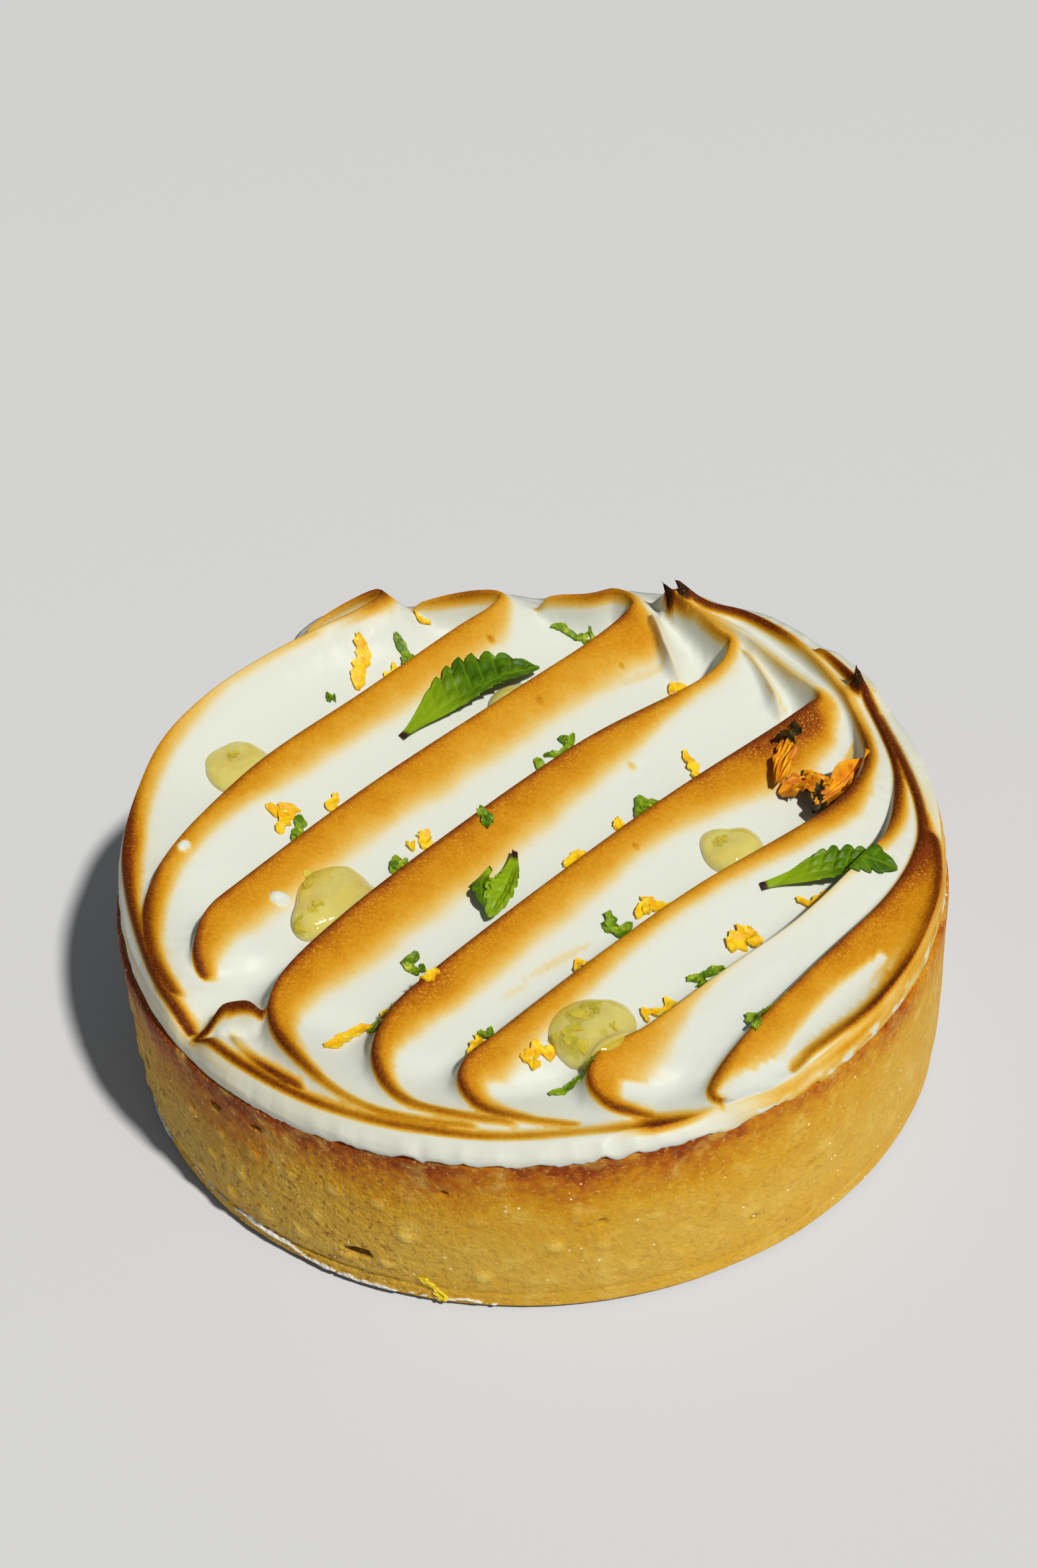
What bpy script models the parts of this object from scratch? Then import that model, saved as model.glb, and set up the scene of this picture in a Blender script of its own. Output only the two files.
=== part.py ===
"""A lemon meringue tart, 85 mm across, whole and uncut.

Origin at the centre of the flat underside, +Z up, metres. The side seen in the
picture faces -Y. The strokes of meringue run from back right to front left.
Inside the functions lengths are in millimetres, and MM turns them into metres.
"""
import math
import random

import bmesh
import bpy
import numpy as np
from mathutils import Vector
from mathutils.bvhtree import BVHTree
from mathutils.geometry import delaunay_2d_cdt

MM = 0.001

# Driving dimensions, in millimetres
RING_RADIUS = 42.5          # a standard tart ring, 85 mm across
CASE_HEIGHT = 20.0          # and 20 mm deep
CASE_FOOT_RADIUS = 42.15    # the case draws in a little where it stands
GAP = 0.3                   # clearance between touching pieces
TOP_RADIUS = 41.5           # where the meringue's top turns down into its side
MERINGUE_FOOT_RADIUS = 42.2
FLOOR_FRONT = 20.9          # height of the hollows between strokes at the front
FLOOR_BACK = 22.6           # and at the back
GENTLE = 5.6                # how far a ridge's broad face reaches
STEEP = 1.7                 # and its undercut face
BLEND = 4.0                 # how sharply overlapping strokes meet

# Dimples of the perforated ring, standing proud on the case
DOT_COLUMNS = 53
DOT_ROWS = (5.4, 9.9, 14.4)
DOT_PROUD = 0.32

# Each stroke's ridge as the spatula left it: plan x, plan y and how far it lifts
# off the general dome, from its curled back end to its front end.
STROKES = {
    "rim_left": [(-25.8, 29.6, -1.2), (-22.8, 31.8, 1.0), (-19.0, 34.0, 2.1), (-15.5, 35.5, 2.6),
                 (-14.0, 34.5, 2.4), (-17.0, 32.5, 1.7), (-21.5, 30.5, 0.9), (-27.5, 26.5, 0.4),
                 (-33.5, 21.0, 0.2), (-38.0, 15.0, 0.0), (-40.0, 8.0, 0.0), (-40.6, 0.0, 0.0),
                 (-39.5, -7.5, 0.0), (-37.5, -14.5, 0.0), (-35.0, -21.0, 0.0), (-32.7, -24.7, 0.0)],
    "second": [(-13.5, 37.0, -2.5), (-9.5, 36.5, 0.0), (-5.5, 37.0, 0.5), (-2.0, 36.8, 0.6),
               (-0.8, 35.5, 0.5), (-2.5, 33.2, 0.2), (-6.5, 29.8, 0.0), (-16.5, 19.5, 0.0),
               (-27.0, 9.0, 0.0), (-34.8, -2.5, 0.0), (-36.9, -7.0, 0.0), (-37.1, -12.0, 0.0),
               (-35.6, -18.0, 0.0), (-33.0, -23.0, -0.5)],
    "third": [(1.0, 36.8, -2.5), (4.5, 36.0, -0.2), (8.5, 35.4, 0.3), (11.5, 35.8, 0.5),
              (13.7, 34.2, 0.5), (13.5, 31.5, 0.3), (8.5, 26.0, 0.0), (-0.5, 17.8, 0.0),
              (-15.5, 4.0, 0.0), (-27.5, -8.7, 0.0), (-31.0, -13.0, 0.0), (-32.0, -17.0, -0.3),
              (-31.3, -19.8, -1.0)],
    "fourth": [(16.5, 33.5, -0.8), (19.5, 31.3, -0.2), (22.8, 27.3, 0.0), (24.0, 24.5, 0.0),
               (20.2, 18.2, 0.0), (6.2, 8.5, 0.0), (-9.8, -6.5, 0.0), (-18.9, -16.2, 0.0),
               (-23.5, -22.5, 0.0), (-24.2, -27.0, 0.0), (-21.3, -31.7, 0.0), (-16.5, -36.2, 0.0),
               (-11.0, -38.4, -0.2), (-4.5, -39.6, -0.5)],
    "fifth": [(17.7, 32.6, 1.8), (19.3, 30.9, 1.0), (22.0, 29.0, 0.4), (25.5, 26.0, 0.0),
              (29.5, 19.8, 0.0), (32.4, 15.0, 0.0), (28.6, 10.7, 0.0), (15.6, 0.1, 0.0),
              (5.9, -8.6, 0.0), (-9.3, -23.1, 0.0), (-13.5, -28.0, 0.0), (-14.7, -32.5, 0.0),
              (-12.5, -36.3, 0.0), (-7.0, -38.4, -0.2), (-1.0, -39.6, -0.5)],
    "sixth": [(19.6, 32.2, 0.9), (22.5, 30.3, 0.8), (26.3, 28.5, 0.9), (31.0, 23.5, 0.6),
              (34.0, 17.5, 0.4), (35.9, 11.0, 0.0), (35.6, 3.6, 0.0), (30.4, -4.0, 0.0),
              (16.6, -13.9, 0.0), (7.0, -21.8, 0.0), (-3.0, -30.6, 0.0), (-6.9, -34.3, 0.0),
              (-5.8, -37.6, 0.0), (-1.0, -39.2, -0.3), (4.0, -39.9, -0.6)],
    "seventh": [(31.8, 24.0, 0.3), (34.4, 20.4, 0.5), (36.3, 16.4, 1.0), (37.4, 13.6, 0.3), (38.3, 8.5, 0.0), (38.4, 2.0, 0.0),
                (36.5, -5.6, 0.0), (33.0, -11.0, -0.1), (25.6, -18.3, -0.8), (17.2, -24.7, -1.0),
                (10.0, -30.8, -0.6), (5.5, -33.7, -0.1), (4.4, -36.3, 0.0), (6.2, -38.6, 0.0),
                (10.5, -39.4, -0.4)],
    "eighth": [(37.9, 14.0, -0.8), (39.2, 6.0, 0.0), (39.8, -2.5, 0.0), (38.5, -8.7, -0.2),
               (34.2, -15.6, -0.6), (26.1, -24.1, -0.9), (19.3, -31.2, -0.6), (15.7, -35.6, -0.3),
               (14.9, -37.7, -0.3), (17.0, -38.2, -0.6), (20.5, -36.3, -0.9)],
    "rim_right": [(22.0, -34.6, -0.8), (30.7, -27.8, -0.6), (36.5, -20.3, -0.6), (39.4, -12.0, -0.4),
                  (40.2, -4.5, -0.3)],
    "rim_front": [(-32.2, -25.6, 0.0), (-27.1, -30.6, -0.3), (-20.5, -35.4, -0.3), (-13.2, -38.6, -0.3),
                  (-4.0, -40.6, -0.3), (6.0, -40.5, -0.3), (14.0, -39.4, -0.5), (20.0, -36.4, -0.9)],
    "curl": [(-31.9, -25.4, 0.3), (-30.2, -24.6, 0.7), (-27.5, -24.5, 0.6), (-25.2, -25.2, 0.3),
             (-24.5, -26.4, -0.3)],
    "curl_fold": [(-28.9, -24.9, -0.6), (-28.4, -26.5, -0.8), (-26.6, -29.4, -0.6), (-23.9, -32.0, -0.4),
                  (-20.5, -34.4, -0.3)],
    "blade_mark_back": [(14.8, 33.2, -0.4), (16.3, 29.8, -0.3), (17.2, 26.0, -1.2), (18.4, 23.0, -2.0)],
    "blade_mark_right": [(24.3, 25.6, -0.8), (26.6, 21.5, -1.2), (28.0, 17.0, -1.9), (27.9, 14.4, -3.0)],
}
# Reach of the two faces where a stroke differs from the rule above
FACES = {
    "rim_left": (4.6, 1.5),
    "seventh": (4.6, 1.5),
    "eighth": (3.4, 1.6),
    "rim_right": (2.2, 2.4),
    "rim_front": (2.6, 1.8),
    "curl": (1.3, 1.2),
    "curl_fold": (1.6, 1.4),
    "blade_mark_back": (2.6, 1.6),
    "blade_mark_right": (2.6, 2.2),
}
END_TAPER = 3.2             # length over which a stroke's end sinks away
TIP_STROKES = ("fifth", "sixth")   # these begin in a pulled-up charred tip

# Meshing of the meringue
CREST_STEP = 2.3
SIDE_ROWS = ((-1.9, 2.9), (2.6, 3.0), (5.8, 3.8))   # offset from the ridge, spacing along it
FILL_STEP = 3.6
EDGE_COUNT = 132
CLEAR_OF_RIDGE = 1.25
CLEAR_OF_POINT = 1.7

# Charred tips pulled up by the spatula: foot x, y, z and the way each leans
TIPS = {
    "tip_left": ((18.9, 31.4, 30.4), (-1.5, 0.4, 1.5)),
    "tip_right": ((20.6, 31.0, 30.4), (-1.5, 0.5, 1.9)),
    "horn": ((36.4, 14.9, 27.6), (-0.2, 0.1, 3.6)),
}
TIP_FOOT_RADIUS = 1.0

# Drops of lemon gel: x, y, radius across and along, turn in degrees, height
GEL_DROPS = [
    (-30.2, 13.6, 3.7, 3.3, 20.0, 1.8),
    (-0.3, 21.8, 3.3, 2.7, 30.0, 1.9),
    (20.1, -5.5, 2.9, 2.7, 20.0, 1.8),
    (4.5, -30.2, 3.9, 3.7, 10.0, 2.0),
    (-19.3, -9.0, 4.0, 4.1, 35.0, 2.1),
]
GEL_SIDES = 16
GEL_RINGS = 4
GEL_SINK = 3.0

# Shreds of candied peel and lime zest: x, y, turn in degrees, length, width, curl
YELLOW_SHREDS = [
    (-17.9, 28.0, 80.0, 6.4, 1.8, 0.5), (-14.1, 27.9, 60.0, 2.2, 1.1, 0.2),
    (-10.9, 36.1, 10.0, 3.0, 1.0, 0.3), (-24.5, 3.2, 60.0, 4.0, 1.8, 0.6),
    (-19.6, 6.1, 110.0, 2.8, 1.2, 0.4), (17.6, 22.5, 20.0, 2.6, 1.2, 0.7),
    (17.9, 8.4, 110.0, 4.2, 1.2, 0.4), (9.4, 0.2, 20.0, 2.8, 1.3, 0.4),
    (4.9, -4.6, 20.0, 3.4, 1.2, 0.3), (11.8, -13.3, 15.0, 4.2, 1.7, 0.6),
    (19.8, -18.8, 40.0, 3.4, 2.4, 0.5), (11.5, -26.7, 30.0, 3.0, 1.6, 0.4),
    (4.3, -20.5, 20.0, 2.6, 1.2, 0.3), (-10.6, -0.8, 120.0, 2.4, 1.6, 0.3),
    (-9.9, -23.7, 20.0, 2.4, 1.0, 0.3), (-17.6, -27.8, 35.0, 6.6, 1.0, 0.5),
    (-6.5, -30.1, 75.0, 2.8, 1.3, 0.4), (0.0, -32.6, 20.0, 2.6, 1.2, 0.4),
    (27.2, -13.6, 20.0, 2.8, 1.0, 0.3),
]
GREEN_SHREDS = [
    (-12.8, 29.9, 110.0, 4.4, 1.4, 0.5), (-20.9, 24.5, 30.0, 1.8, 1.0, 0.3),
    (6.2, 34.6, 150.0, 5.2, 1.2, 0.5), (4.1, 13.1, 45.0, 4.8, 1.4, 0.6),
    (1.8, 10.0, 60.0, 2.6, 1.2, 0.4), (12.4, 2.6, 35.0, 3.6, 2.0, 0.7),
    (-23.1, 2.4, 95.0, 4.0, 1.4, 0.5), (-4.3, -1.6, 120.0, 2.0, 1.3, 0.3),
    (-13.2, -4.3, 20.0, 2.2, 1.8, 0.4), (8.1, -15.4, 10.0, 3.4, 2.2, 0.6),
    (15.9, -23.0, 20.0, 3.8, 1.0, 0.4), (20.0, -29.6, 60.0, 3.4, 1.6, 0.4),
    (-11.6, -18.5, 90.0, 2.8, 1.4, 0.4), (-5.0, -28.4, 30.0, 1.8, 1.3, 0.3),
    (2.6, -35.6, 20.0, 4.4, 0.9, 0.5), (-14.6, -26.6, 20.0, 2.6, 1.6, 0.5),
]
SHRED_SINK = 0.7
SHRED_STATIONS = 4

# Mint leaves: stem end, middle and tip of the midrib (x, y, height over the
# meringue), half widths left and right, upward fold in degrees, and teeth
LEAVES = {
    "mint_leaf_1": [((-12.4, 15.6, 0.4), (-6.4, 24.4, 1.6), (2.2, 26.8, 1.0), 3.7, 2.6, 24.0, 6)],
    "mint_leaf_2": [((-1.4, -5.0, 1.7), (-1.9, -9.2, 1.2), (-4.4, -13.2, 0.5), 1.5, 1.6, 38.0, 3),
                    ((-3.9, -6.8, 0.7), (-5.4, -9.0, 1.0), (-4.6, -12.2, 0.6), 1.0, 1.0, 30.0, 2)],
    "mint_leaf_3": [((22.4, -13.2, 0.9), (29.2, -10.4, 1.9), (35.7, -11.4, 0.5), 1.8, 1.6, 22.0, 5)],
}
# Dried petals in the same form, without teeth
PETALS = {
    "dried_petal_small": [((25.9, 2.7, 0.4), (26.4, 5.0, 1.0), (27.6, 7.8, 1.7), 0.9, 0.9, 15.0, 0)],
    "dried_petal_large": [((29.8, 1.0, 0.9), (28.2, 2.6, 1.6), (26.6, 3.6, 1.2), 1.5, 1.3, 20.0, 0),
                          ((29.8, 1.0, 0.9), (32.0, 2.2, 1.5), (34.4, 4.2, 1.4), 1.2, 1.3, 25.0, 0),
                          ((29.8, 1.0, 0.9), (31.6, 0.2, 1.2), (34.0, 0.8, 0.6), 1.1, 1.0, 20.0, 0),
                          ((29.8, 1.0, 0.9), (28.2, 0.2, 0.9), (26.8, -1.0, 0.5), 1.0, 1.0, 10.0, 0)],
}
BLADE_STATIONS = 9
BLADE_THICKNESS = 0.36
TOOTH_DEPTH = 0.16

COLOURS = {
    "pastry": ((0.72, 0.47, 0.17), 0.75),
    "meringue": ((0.90, 0.87, 0.80), 0.55),
    "gel": ((0.80, 0.74, 0.38), 0.15),
    "leaf": ((0.08, 0.22, 0.02), 0.50),
    "petal": ((0.85, 0.38, 0.02), 0.65),
}


def clear_scene():
    for item in list(bpy.data.objects):
        bpy.data.objects.remove(item, do_unlink=True)


def material(name):
    colour, roughness = COLOURS[name]
    made = bpy.data.materials.new(name)
    made.use_nodes = True
    shader = made.node_tree.nodes["Principled BSDF"]
    shader.inputs["Base Color"].default_value = (*colour, 1.0)
    shader.inputs["Roughness"].default_value = roughness
    shader.inputs["Metallic"].default_value = 0.0
    return made


def smoothstep(low, high, value):
    t = np.clip((value - low) / (high - low), 0.0, 1.0)
    return t * t * (3.0 - 2.0 * t)


def floor_height(x, y):
    """Height of the hollows, rising gently to the back."""
    return FLOOR_FRONT + (FLOOR_BACK - FLOOR_FRONT) * smoothstep(-38.0, 34.0, y)


def dome_height(x, y):
    """Height of the ridges before each one's own lift."""
    radius = np.hypot(x, y) / RING_RADIUS
    front = np.clip((-y - 14.0) / 27.0, 0.0, 1.0)
    edge = smoothstep(0.78, 0.97, radius) * (1.0 - smoothstep(8.0, 26.0, y))
    return 27.2 + 0.06 * y - 1.0 * front ** 2 - 1.8 * edge


def spline(points, step):
    """Smooth curve through the points, as evenly spaced samples."""
    knots = np.array(points, dtype=float)
    ends = np.vstack([2 * knots[0] - knots[1], knots, 2 * knots[-1] - knots[-2]])
    dense = []
    for p0, p1, p2, p3 in zip(ends[:-3], ends[1:-2], ends[2:-1], ends[3:]):
        for t in np.linspace(0.0, 1.0, 24, endpoint=False):
            dense.append(0.5 * (2 * p1 + (p2 - p0) * t + (2 * p0 - 5 * p1 + 4 * p2 - p3) * t ** 2
                                + (3 * p1 - p0 - 3 * p2 + p3) * t ** 3))
    dense.append(knots[-1])
    dense = np.array(dense)
    run = np.r_[0.0, np.cumsum(np.hypot(*np.diff(dense[:, :2], axis=0).T))]
    count = max(2, int(round(run[-1] / step)) + 1)
    places = np.linspace(0.0, run[-1], count)
    return np.column_stack([np.interp(places, run, dense[:, k]) for k in range(3)]), places


class Stroke:
    """One ridge: its line on the plan, its height and its two faces."""

    def __init__(self, name, points):
        self.name = name
        self.line, along = spline(points, 0.5)
        self.gentle, self.steep = FACES.get(name, (GENTLE, STEEP))
        x, y, lift = self.line.T
        rise = dome_height(x, y) + lift - floor_height(x, y)
        start = np.ones_like(along) if name in TIP_STROKES else smoothstep(-0.6, END_TAPER, along)
        finish = smoothstep(-0.6, END_TAPER, along[-1] - along)
        self.rise = rise * start * finish
        self.tangent = np.gradient(self.line[:, :2], axis=0)
        self.tangent /= np.linalg.norm(self.tangent, axis=1)[:, None]

    def height(self, x, y):
        """Rise above the floor that this stroke gives to each place."""
        offset_x = x[:, None] - self.line[None, :, 0]
        offset_y = y[:, None] - self.line[None, :, 1]
        nearest = np.argmin(offset_x ** 2 + offset_y ** 2, axis=1)
        rows = np.arange(len(x))
        dx, dy = offset_x[rows, nearest], offset_y[rows, nearest]
        tx, ty = self.tangent[nearest].T
        side = tx * dy - ty * dx
        distance = np.hypot(dx, dy)
        blend = smoothstep(-0.4, 0.4, side / np.maximum(distance, 1e-6))
        reach = self.steep + (self.gentle - self.steep) * blend
        return self.rise[nearest] * np.exp(-(distance / reach) ** 1.15)


def build_strokes():
    return [Stroke(name, points) for name, points in STROKES.items()]


def surface_height(strokes, x, y):
    """Height of the meringue's top: the strokes overlap as a soft maximum."""
    x = np.atleast_1d(np.asarray(x, dtype=float))
    y = np.atleast_1d(np.asarray(y, dtype=float))
    total = np.zeros_like(x)
    for stroke in strokes:
        total += np.maximum(stroke.height(x, y), 0.0) ** BLEND
    return floor_height(x, y) + total ** (1.0 / BLEND)


def plan_points(strokes):
    """Points of the top's mesh on the plan, and the ridge lines as fixed edges."""
    points = []
    edges = []
    for k in range(EDGE_COUNT):
        angle = 2 * math.pi * k / EDGE_COUNT
        points.append((TOP_RADIUS * math.cos(angle), TOP_RADIUS * math.sin(angle)))
        edges.append((k, (k + 1) % EDGE_COUNT))

    def far_from(place, others, clear):
        if not others:
            return True
        gaps = np.hypot(*(np.array(others) - place).T)
        return gaps.min() > clear

    for stroke in strokes:
        every = int(round(CREST_STEP / 0.5))
        previous = None
        own = []
        for place in stroke.line[::every, :2]:
            inside = math.hypot(*place) < TOP_RADIUS - 0.3
            if not inside or not far_from(place, points, CLEAR_OF_RIDGE):
                previous = None
                continue
            own.append((place[0], place[1]))
            index = len(points) + len(own) - 1
            if previous is not None:
                edges.append((previous, index))
            previous = index
        points.extend(own)
    for offset, spacing in SIDE_ROWS:
        for stroke in strokes:
            if stroke.name.startswith("curl") and abs(offset) > 2.0:
                continue
            every = max(1, int(round(spacing / 0.5)))
            normal = np.column_stack([-stroke.tangent[:, 1], stroke.tangent[:, 0]])
            row = stroke.line[:, :2] + offset * normal
            for place in row[::every]:
                if math.hypot(*place) < TOP_RADIUS - 1.0 and far_from(place, points, CLEAR_OF_POINT):
                    points.append((place[0], place[1]))
    across = int(2 * TOP_RADIUS / FILL_STEP)
    for i in range(-across, across + 1):
        for j in range(-across, across + 1):
            place = ((i + 0.5 * (j % 2)) * FILL_STEP, j * FILL_STEP * math.sqrt(0.75))
            if math.hypot(*place) < TOP_RADIUS - 1.5 and far_from(place, points, 0.68 * FILL_STEP):
                points.append(place)
    return points, edges


def add_object(name, mesh_builder, slot):
    """Object from a bmesh in millimetres, with its own material."""
    bmesh.ops.recalc_face_normals(mesh_builder, faces=mesh_builder.faces)
    bmesh.ops.scale(mesh_builder, vec=(MM, MM, MM), verts=mesh_builder.verts)
    mesh = bpy.data.meshes.new(name)
    mesh_builder.to_mesh(mesh)
    mesh_builder.free()
    mesh.materials.append(slot)
    mesh.shade_smooth()
    mesh.set_sharp_from_angle(angle=math.radians(45.0))
    item = bpy.data.objects.new(name, mesh)
    bpy.context.scene.collection.objects.link(item)
    return item


def meringue_body(strokes):
    """The spread meringue: a worked top, a thin side and a flat underside."""
    points, edges = plan_points(strokes)
    plan, _, faces, _, _, _ = delaunay_2d_cdt([Vector(p) for p in points], edges, [], 0, 1e-4)
    place = np.array([(p.x, p.y) for p in plan])
    heights = surface_height(strokes, place[:, 0], place[:, 1])
    body = bmesh.new()
    top = [body.verts.new((p[0], p[1], z)) for p, z in zip(place, heights)]
    for face in faces:
        body.faces.new([top[i] for i in face])
    foot_z = CASE_HEIGHT + GAP
    rim = [edge for edge in body.edges if len(edge.link_faces) == 1]
    extruded = bmesh.ops.extrude_edge_only(body, edges=rim)["geom"]
    foot = [item for item in extruded if isinstance(item, bmesh.types.BMVert)]
    for vertex in foot:
        spread = MERINGUE_FOOT_RADIUS / math.hypot(vertex.co.x, vertex.co.y)
        vertex.co = (vertex.co.x * spread, vertex.co.y * spread, foot_z)
    foot.sort(key=lambda vertex: math.atan2(vertex.co.y, vertex.co.x))
    body.faces.new(foot)
    bmesh.ops.triangulate(body, faces=[face for face in body.faces if len(face.verts) > 4])
    return body


def pulled_tip(foot, lean):
    """A charred point: four stations of a cone that bends as it thins."""
    body = bmesh.new()
    rings = []
    for t, scale in ((-0.35, 1.15), (0.0, 1.0), (0.45, 0.55), (0.8, 0.28)):
        centre = Vector(foot) + Vector(lean) * t + Vector((0.0, 0.0, 0.5 * t * t))
        ring = []
        for k in range(6):
            angle = 2 * math.pi * k / 6
            reach = TIP_FOOT_RADIUS * scale
            ring.append(body.verts.new(centre + Vector((reach * math.cos(angle), reach * math.sin(angle), 0.0))))
        rings.append(ring)
    for lower, upper in zip(rings, rings[1:]):
        for k in range(6):
            body.faces.new((lower[k], lower[(k + 1) % 6], upper[(k + 1) % 6], upper[k]))
    point = body.verts.new(Vector(foot) + Vector(lean) * 1.15)
    for k in range(6):
        body.faces.new((rings[-1][k], rings[-1][(k + 1) % 6], point))
    body.faces.new(list(reversed(rings[0])))
    return body


def shred(strokes, spec, seed):
    """A strip of zest: a bent ribbon that lies on the meringue, its belly sunk in it."""
    x, y, turn, length, width, curl = spec
    chance = random.Random(seed)
    along = Vector((math.cos(math.radians(turn)), math.sin(math.radians(turn))))
    across = Vector((-along.y, along.x))
    body = bmesh.new()
    rings = []
    for k in range(SHRED_STATIONS):
        t = k / (SHRED_STATIONS - 1) - 0.5
        bow = curl * (0.25 - t * t) * 4.0
        centre = Vector((x, y)) + along * (t * length) + across * bow
        half = 0.5 * width * (1.0 - 0.9 * abs(t)) * chance.uniform(0.85, 1.15)
        ring = []
        for side, level in ((-1, -SHRED_SINK), (1, -SHRED_SINK), (1, 0.5), (-1, 0.5)):
            spot = centre + across * (side * half)
            ground = float(surface_height(strokes, spot.x, spot.y)[0])
            lift = level + (chance.uniform(0.0, 0.35) if level > 0 else 0.0)
            ring.append(body.verts.new((spot.x, spot.y, ground + lift)))
        rings.append(ring)
    for lower, upper in zip(rings, rings[1:]):
        for k in range(4):
            body.faces.new((lower[k], lower[(k + 1) % 4], upper[(k + 1) % 4], upper[k]))
    body.faces.new(list(reversed(rings[0])))
    body.faces.new(rings[-1])
    return body


def drop_small_bodies(item):
    """Keep only the largest connected body of an object's mesh."""
    body = bmesh.new()
    body.from_mesh(item.data)
    groups = []
    left = set(body.verts)
    while left:
        start = left.pop()
        group = {start}
        front = [start]
        while front:
            vertex = front.pop()
            for edge in vertex.link_edges:
                other = edge.other_vert(vertex)
                if other in left:
                    left.remove(other)
                    group.add(other)
                    front.append(other)
        groups.append(group)
    groups.sort(key=len)
    for group in groups[:-1]:
        bmesh.ops.delete(body, geom=list(group), context="VERTS")
    body.to_mesh(item.data)
    body.free()


def apply_modifiers(item):
    graph = bpy.context.evaluated_depsgraph_get()
    mesh = bpy.data.meshes.new_from_object(item.evaluated_get(graph))
    item.modifiers.clear()
    item.data = mesh


def build_meringue(strokes, slot):
    """The meringue with its charred tips and the shreds of zest fused to it."""
    item = add_object("meringue", meringue_body(strokes), slot)
    extras = bpy.data.collections.new("fused_to_meringue")
    bpy.context.scene.collection.children.link(extras)
    pieces = []
    for name, (foot, lean) in TIPS.items():
        pieces.append(add_object(name, pulled_tip(foot, lean), slot))
    for seed, spec in enumerate(YELLOW_SHREDS + GREEN_SHREDS):
        pieces.append(add_object("shred_%02d" % seed, shred(strokes, spec, seed), slot))
    for piece in pieces:
        bpy.context.scene.collection.objects.unlink(piece)
        extras.objects.link(piece)
    union = item.modifiers.new("fuse", "BOOLEAN")
    union.operation = "UNION"
    union.solver = "MANIFOLD"
    union.operand_type = "COLLECTION"
    union.collection = extras
    apply_modifiers(item)
    for piece in pieces:
        bpy.data.objects.remove(piece, do_unlink=True)
    bpy.data.collections.remove(extras)
    drop_small_bodies(item)
    return item


def build_case(slot):
    """The pastry case as one solid, with the ring's dimples raised on its side."""
    columns = 2 * DOT_COLUMNS
    profile = [(CASE_FOOT_RADIUS - 0.7, 0.0), (CASE_FOOT_RADIUS, 0.6), (CASE_FOOT_RADIUS + 0.05, 2.2),
               (RING_RADIUS - 0.1, DOT_ROWS[0]), (RING_RADIUS, DOT_ROWS[1]), (RING_RADIUS, DOT_ROWS[2]),
               (RING_RADIUS, 17.6), (RING_RADIUS - 0.1, CASE_HEIGHT - 0.4),
               (RING_RADIUS - 0.6, CASE_HEIGHT)]
    body = bmesh.new()
    rings = []
    for radius, height in profile:
        ring = []
        for k in range(columns):
            angle = 2 * math.pi * k / columns
            proud = 0.0
            if height in DOT_ROWS and (k + DOT_ROWS.index(height)) % 2 == 0:
                proud = DOT_PROUD
            reach = radius + proud
            ring.append(body.verts.new((reach * math.cos(angle), reach * math.sin(angle), height)))
        rings.append(ring)
    for lower, upper in zip(rings, rings[1:]):
        for k in range(columns):
            body.faces.new((lower[k], lower[(k + 1) % columns], upper[(k + 1) % columns], upper[k]))
    body.faces.new(list(reversed(rings[0])))
    body.faces.new(rings[-1])
    return add_object("pastry_case", body, slot)


def build_gel(strokes, number, spec, under, slot):
    """A drop of gel: a low dome whose underside follows the meringue it lies on."""
    x, y, across, along, turn, rise = spec
    ground = float(surface_height(strokes, x, y)[0])
    chance = random.Random(number)
    wobble = [chance.uniform(-0.06, 0.06) for _ in range(4)]
    body = bmesh.new()
    rings = []
    for k in range(GEL_RINGS):
        angle_up = 0.5 * math.pi * k / GEL_RINGS
        ring = []
        for j in range(GEL_SIDES):
            angle = 2 * math.pi * j / GEL_SIDES
            swell = 1.0 + sum(w * math.cos((i + 2) * angle + i) for i, w in enumerate(wobble))
            u = across * math.cos(angle) * swell * math.cos(angle_up)
            v = along * math.sin(angle) * swell * math.cos(angle_up)
            c, s = math.cos(math.radians(turn)), math.sin(math.radians(turn))
            spot = (x + c * u - s * v, y + s * u + c * v)
            level = float(surface_height(strokes, *spot)[0])
            level = 0.5 * min(level, ground + 1.2) + 0.5 * ground
            ring.append(body.verts.new((*spot, level + rise * math.sin(angle_up))))
        rings.append(ring)
    top = body.verts.new((x, y, ground + rise))
    for lower, upper in zip(rings, rings[1:]):
        for j in range(GEL_SIDES):
            body.faces.new((lower[j], lower[(j + 1) % GEL_SIDES], upper[(j + 1) % GEL_SIDES], upper[j]))
    for j in range(GEL_SIDES):
        body.faces.new((rings[-1][j], rings[-1][(j + 1) % GEL_SIDES], top))
    base = []
    for vertex in rings[0]:
        base.append(body.verts.new((vertex.co.x, vertex.co.y, ground - GEL_SINK)))
    for j in range(GEL_SIDES):
        body.faces.new((base[j], base[(j + 1) % GEL_SIDES], rings[0][(j + 1) % GEL_SIDES], rings[0][j]))
    body.faces.new(list(reversed(base)))
    item = add_object("lemon_gel_%d" % number, body, slot)
    cut = item.modifiers.new("rest_on_meringue", "BOOLEAN")
    cut.operation = "DIFFERENCE"
    cut.solver = "EXACT"
    cut.object = under
    apply_modifiers(item)
    drop_small_bodies(item)
    return item


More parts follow.
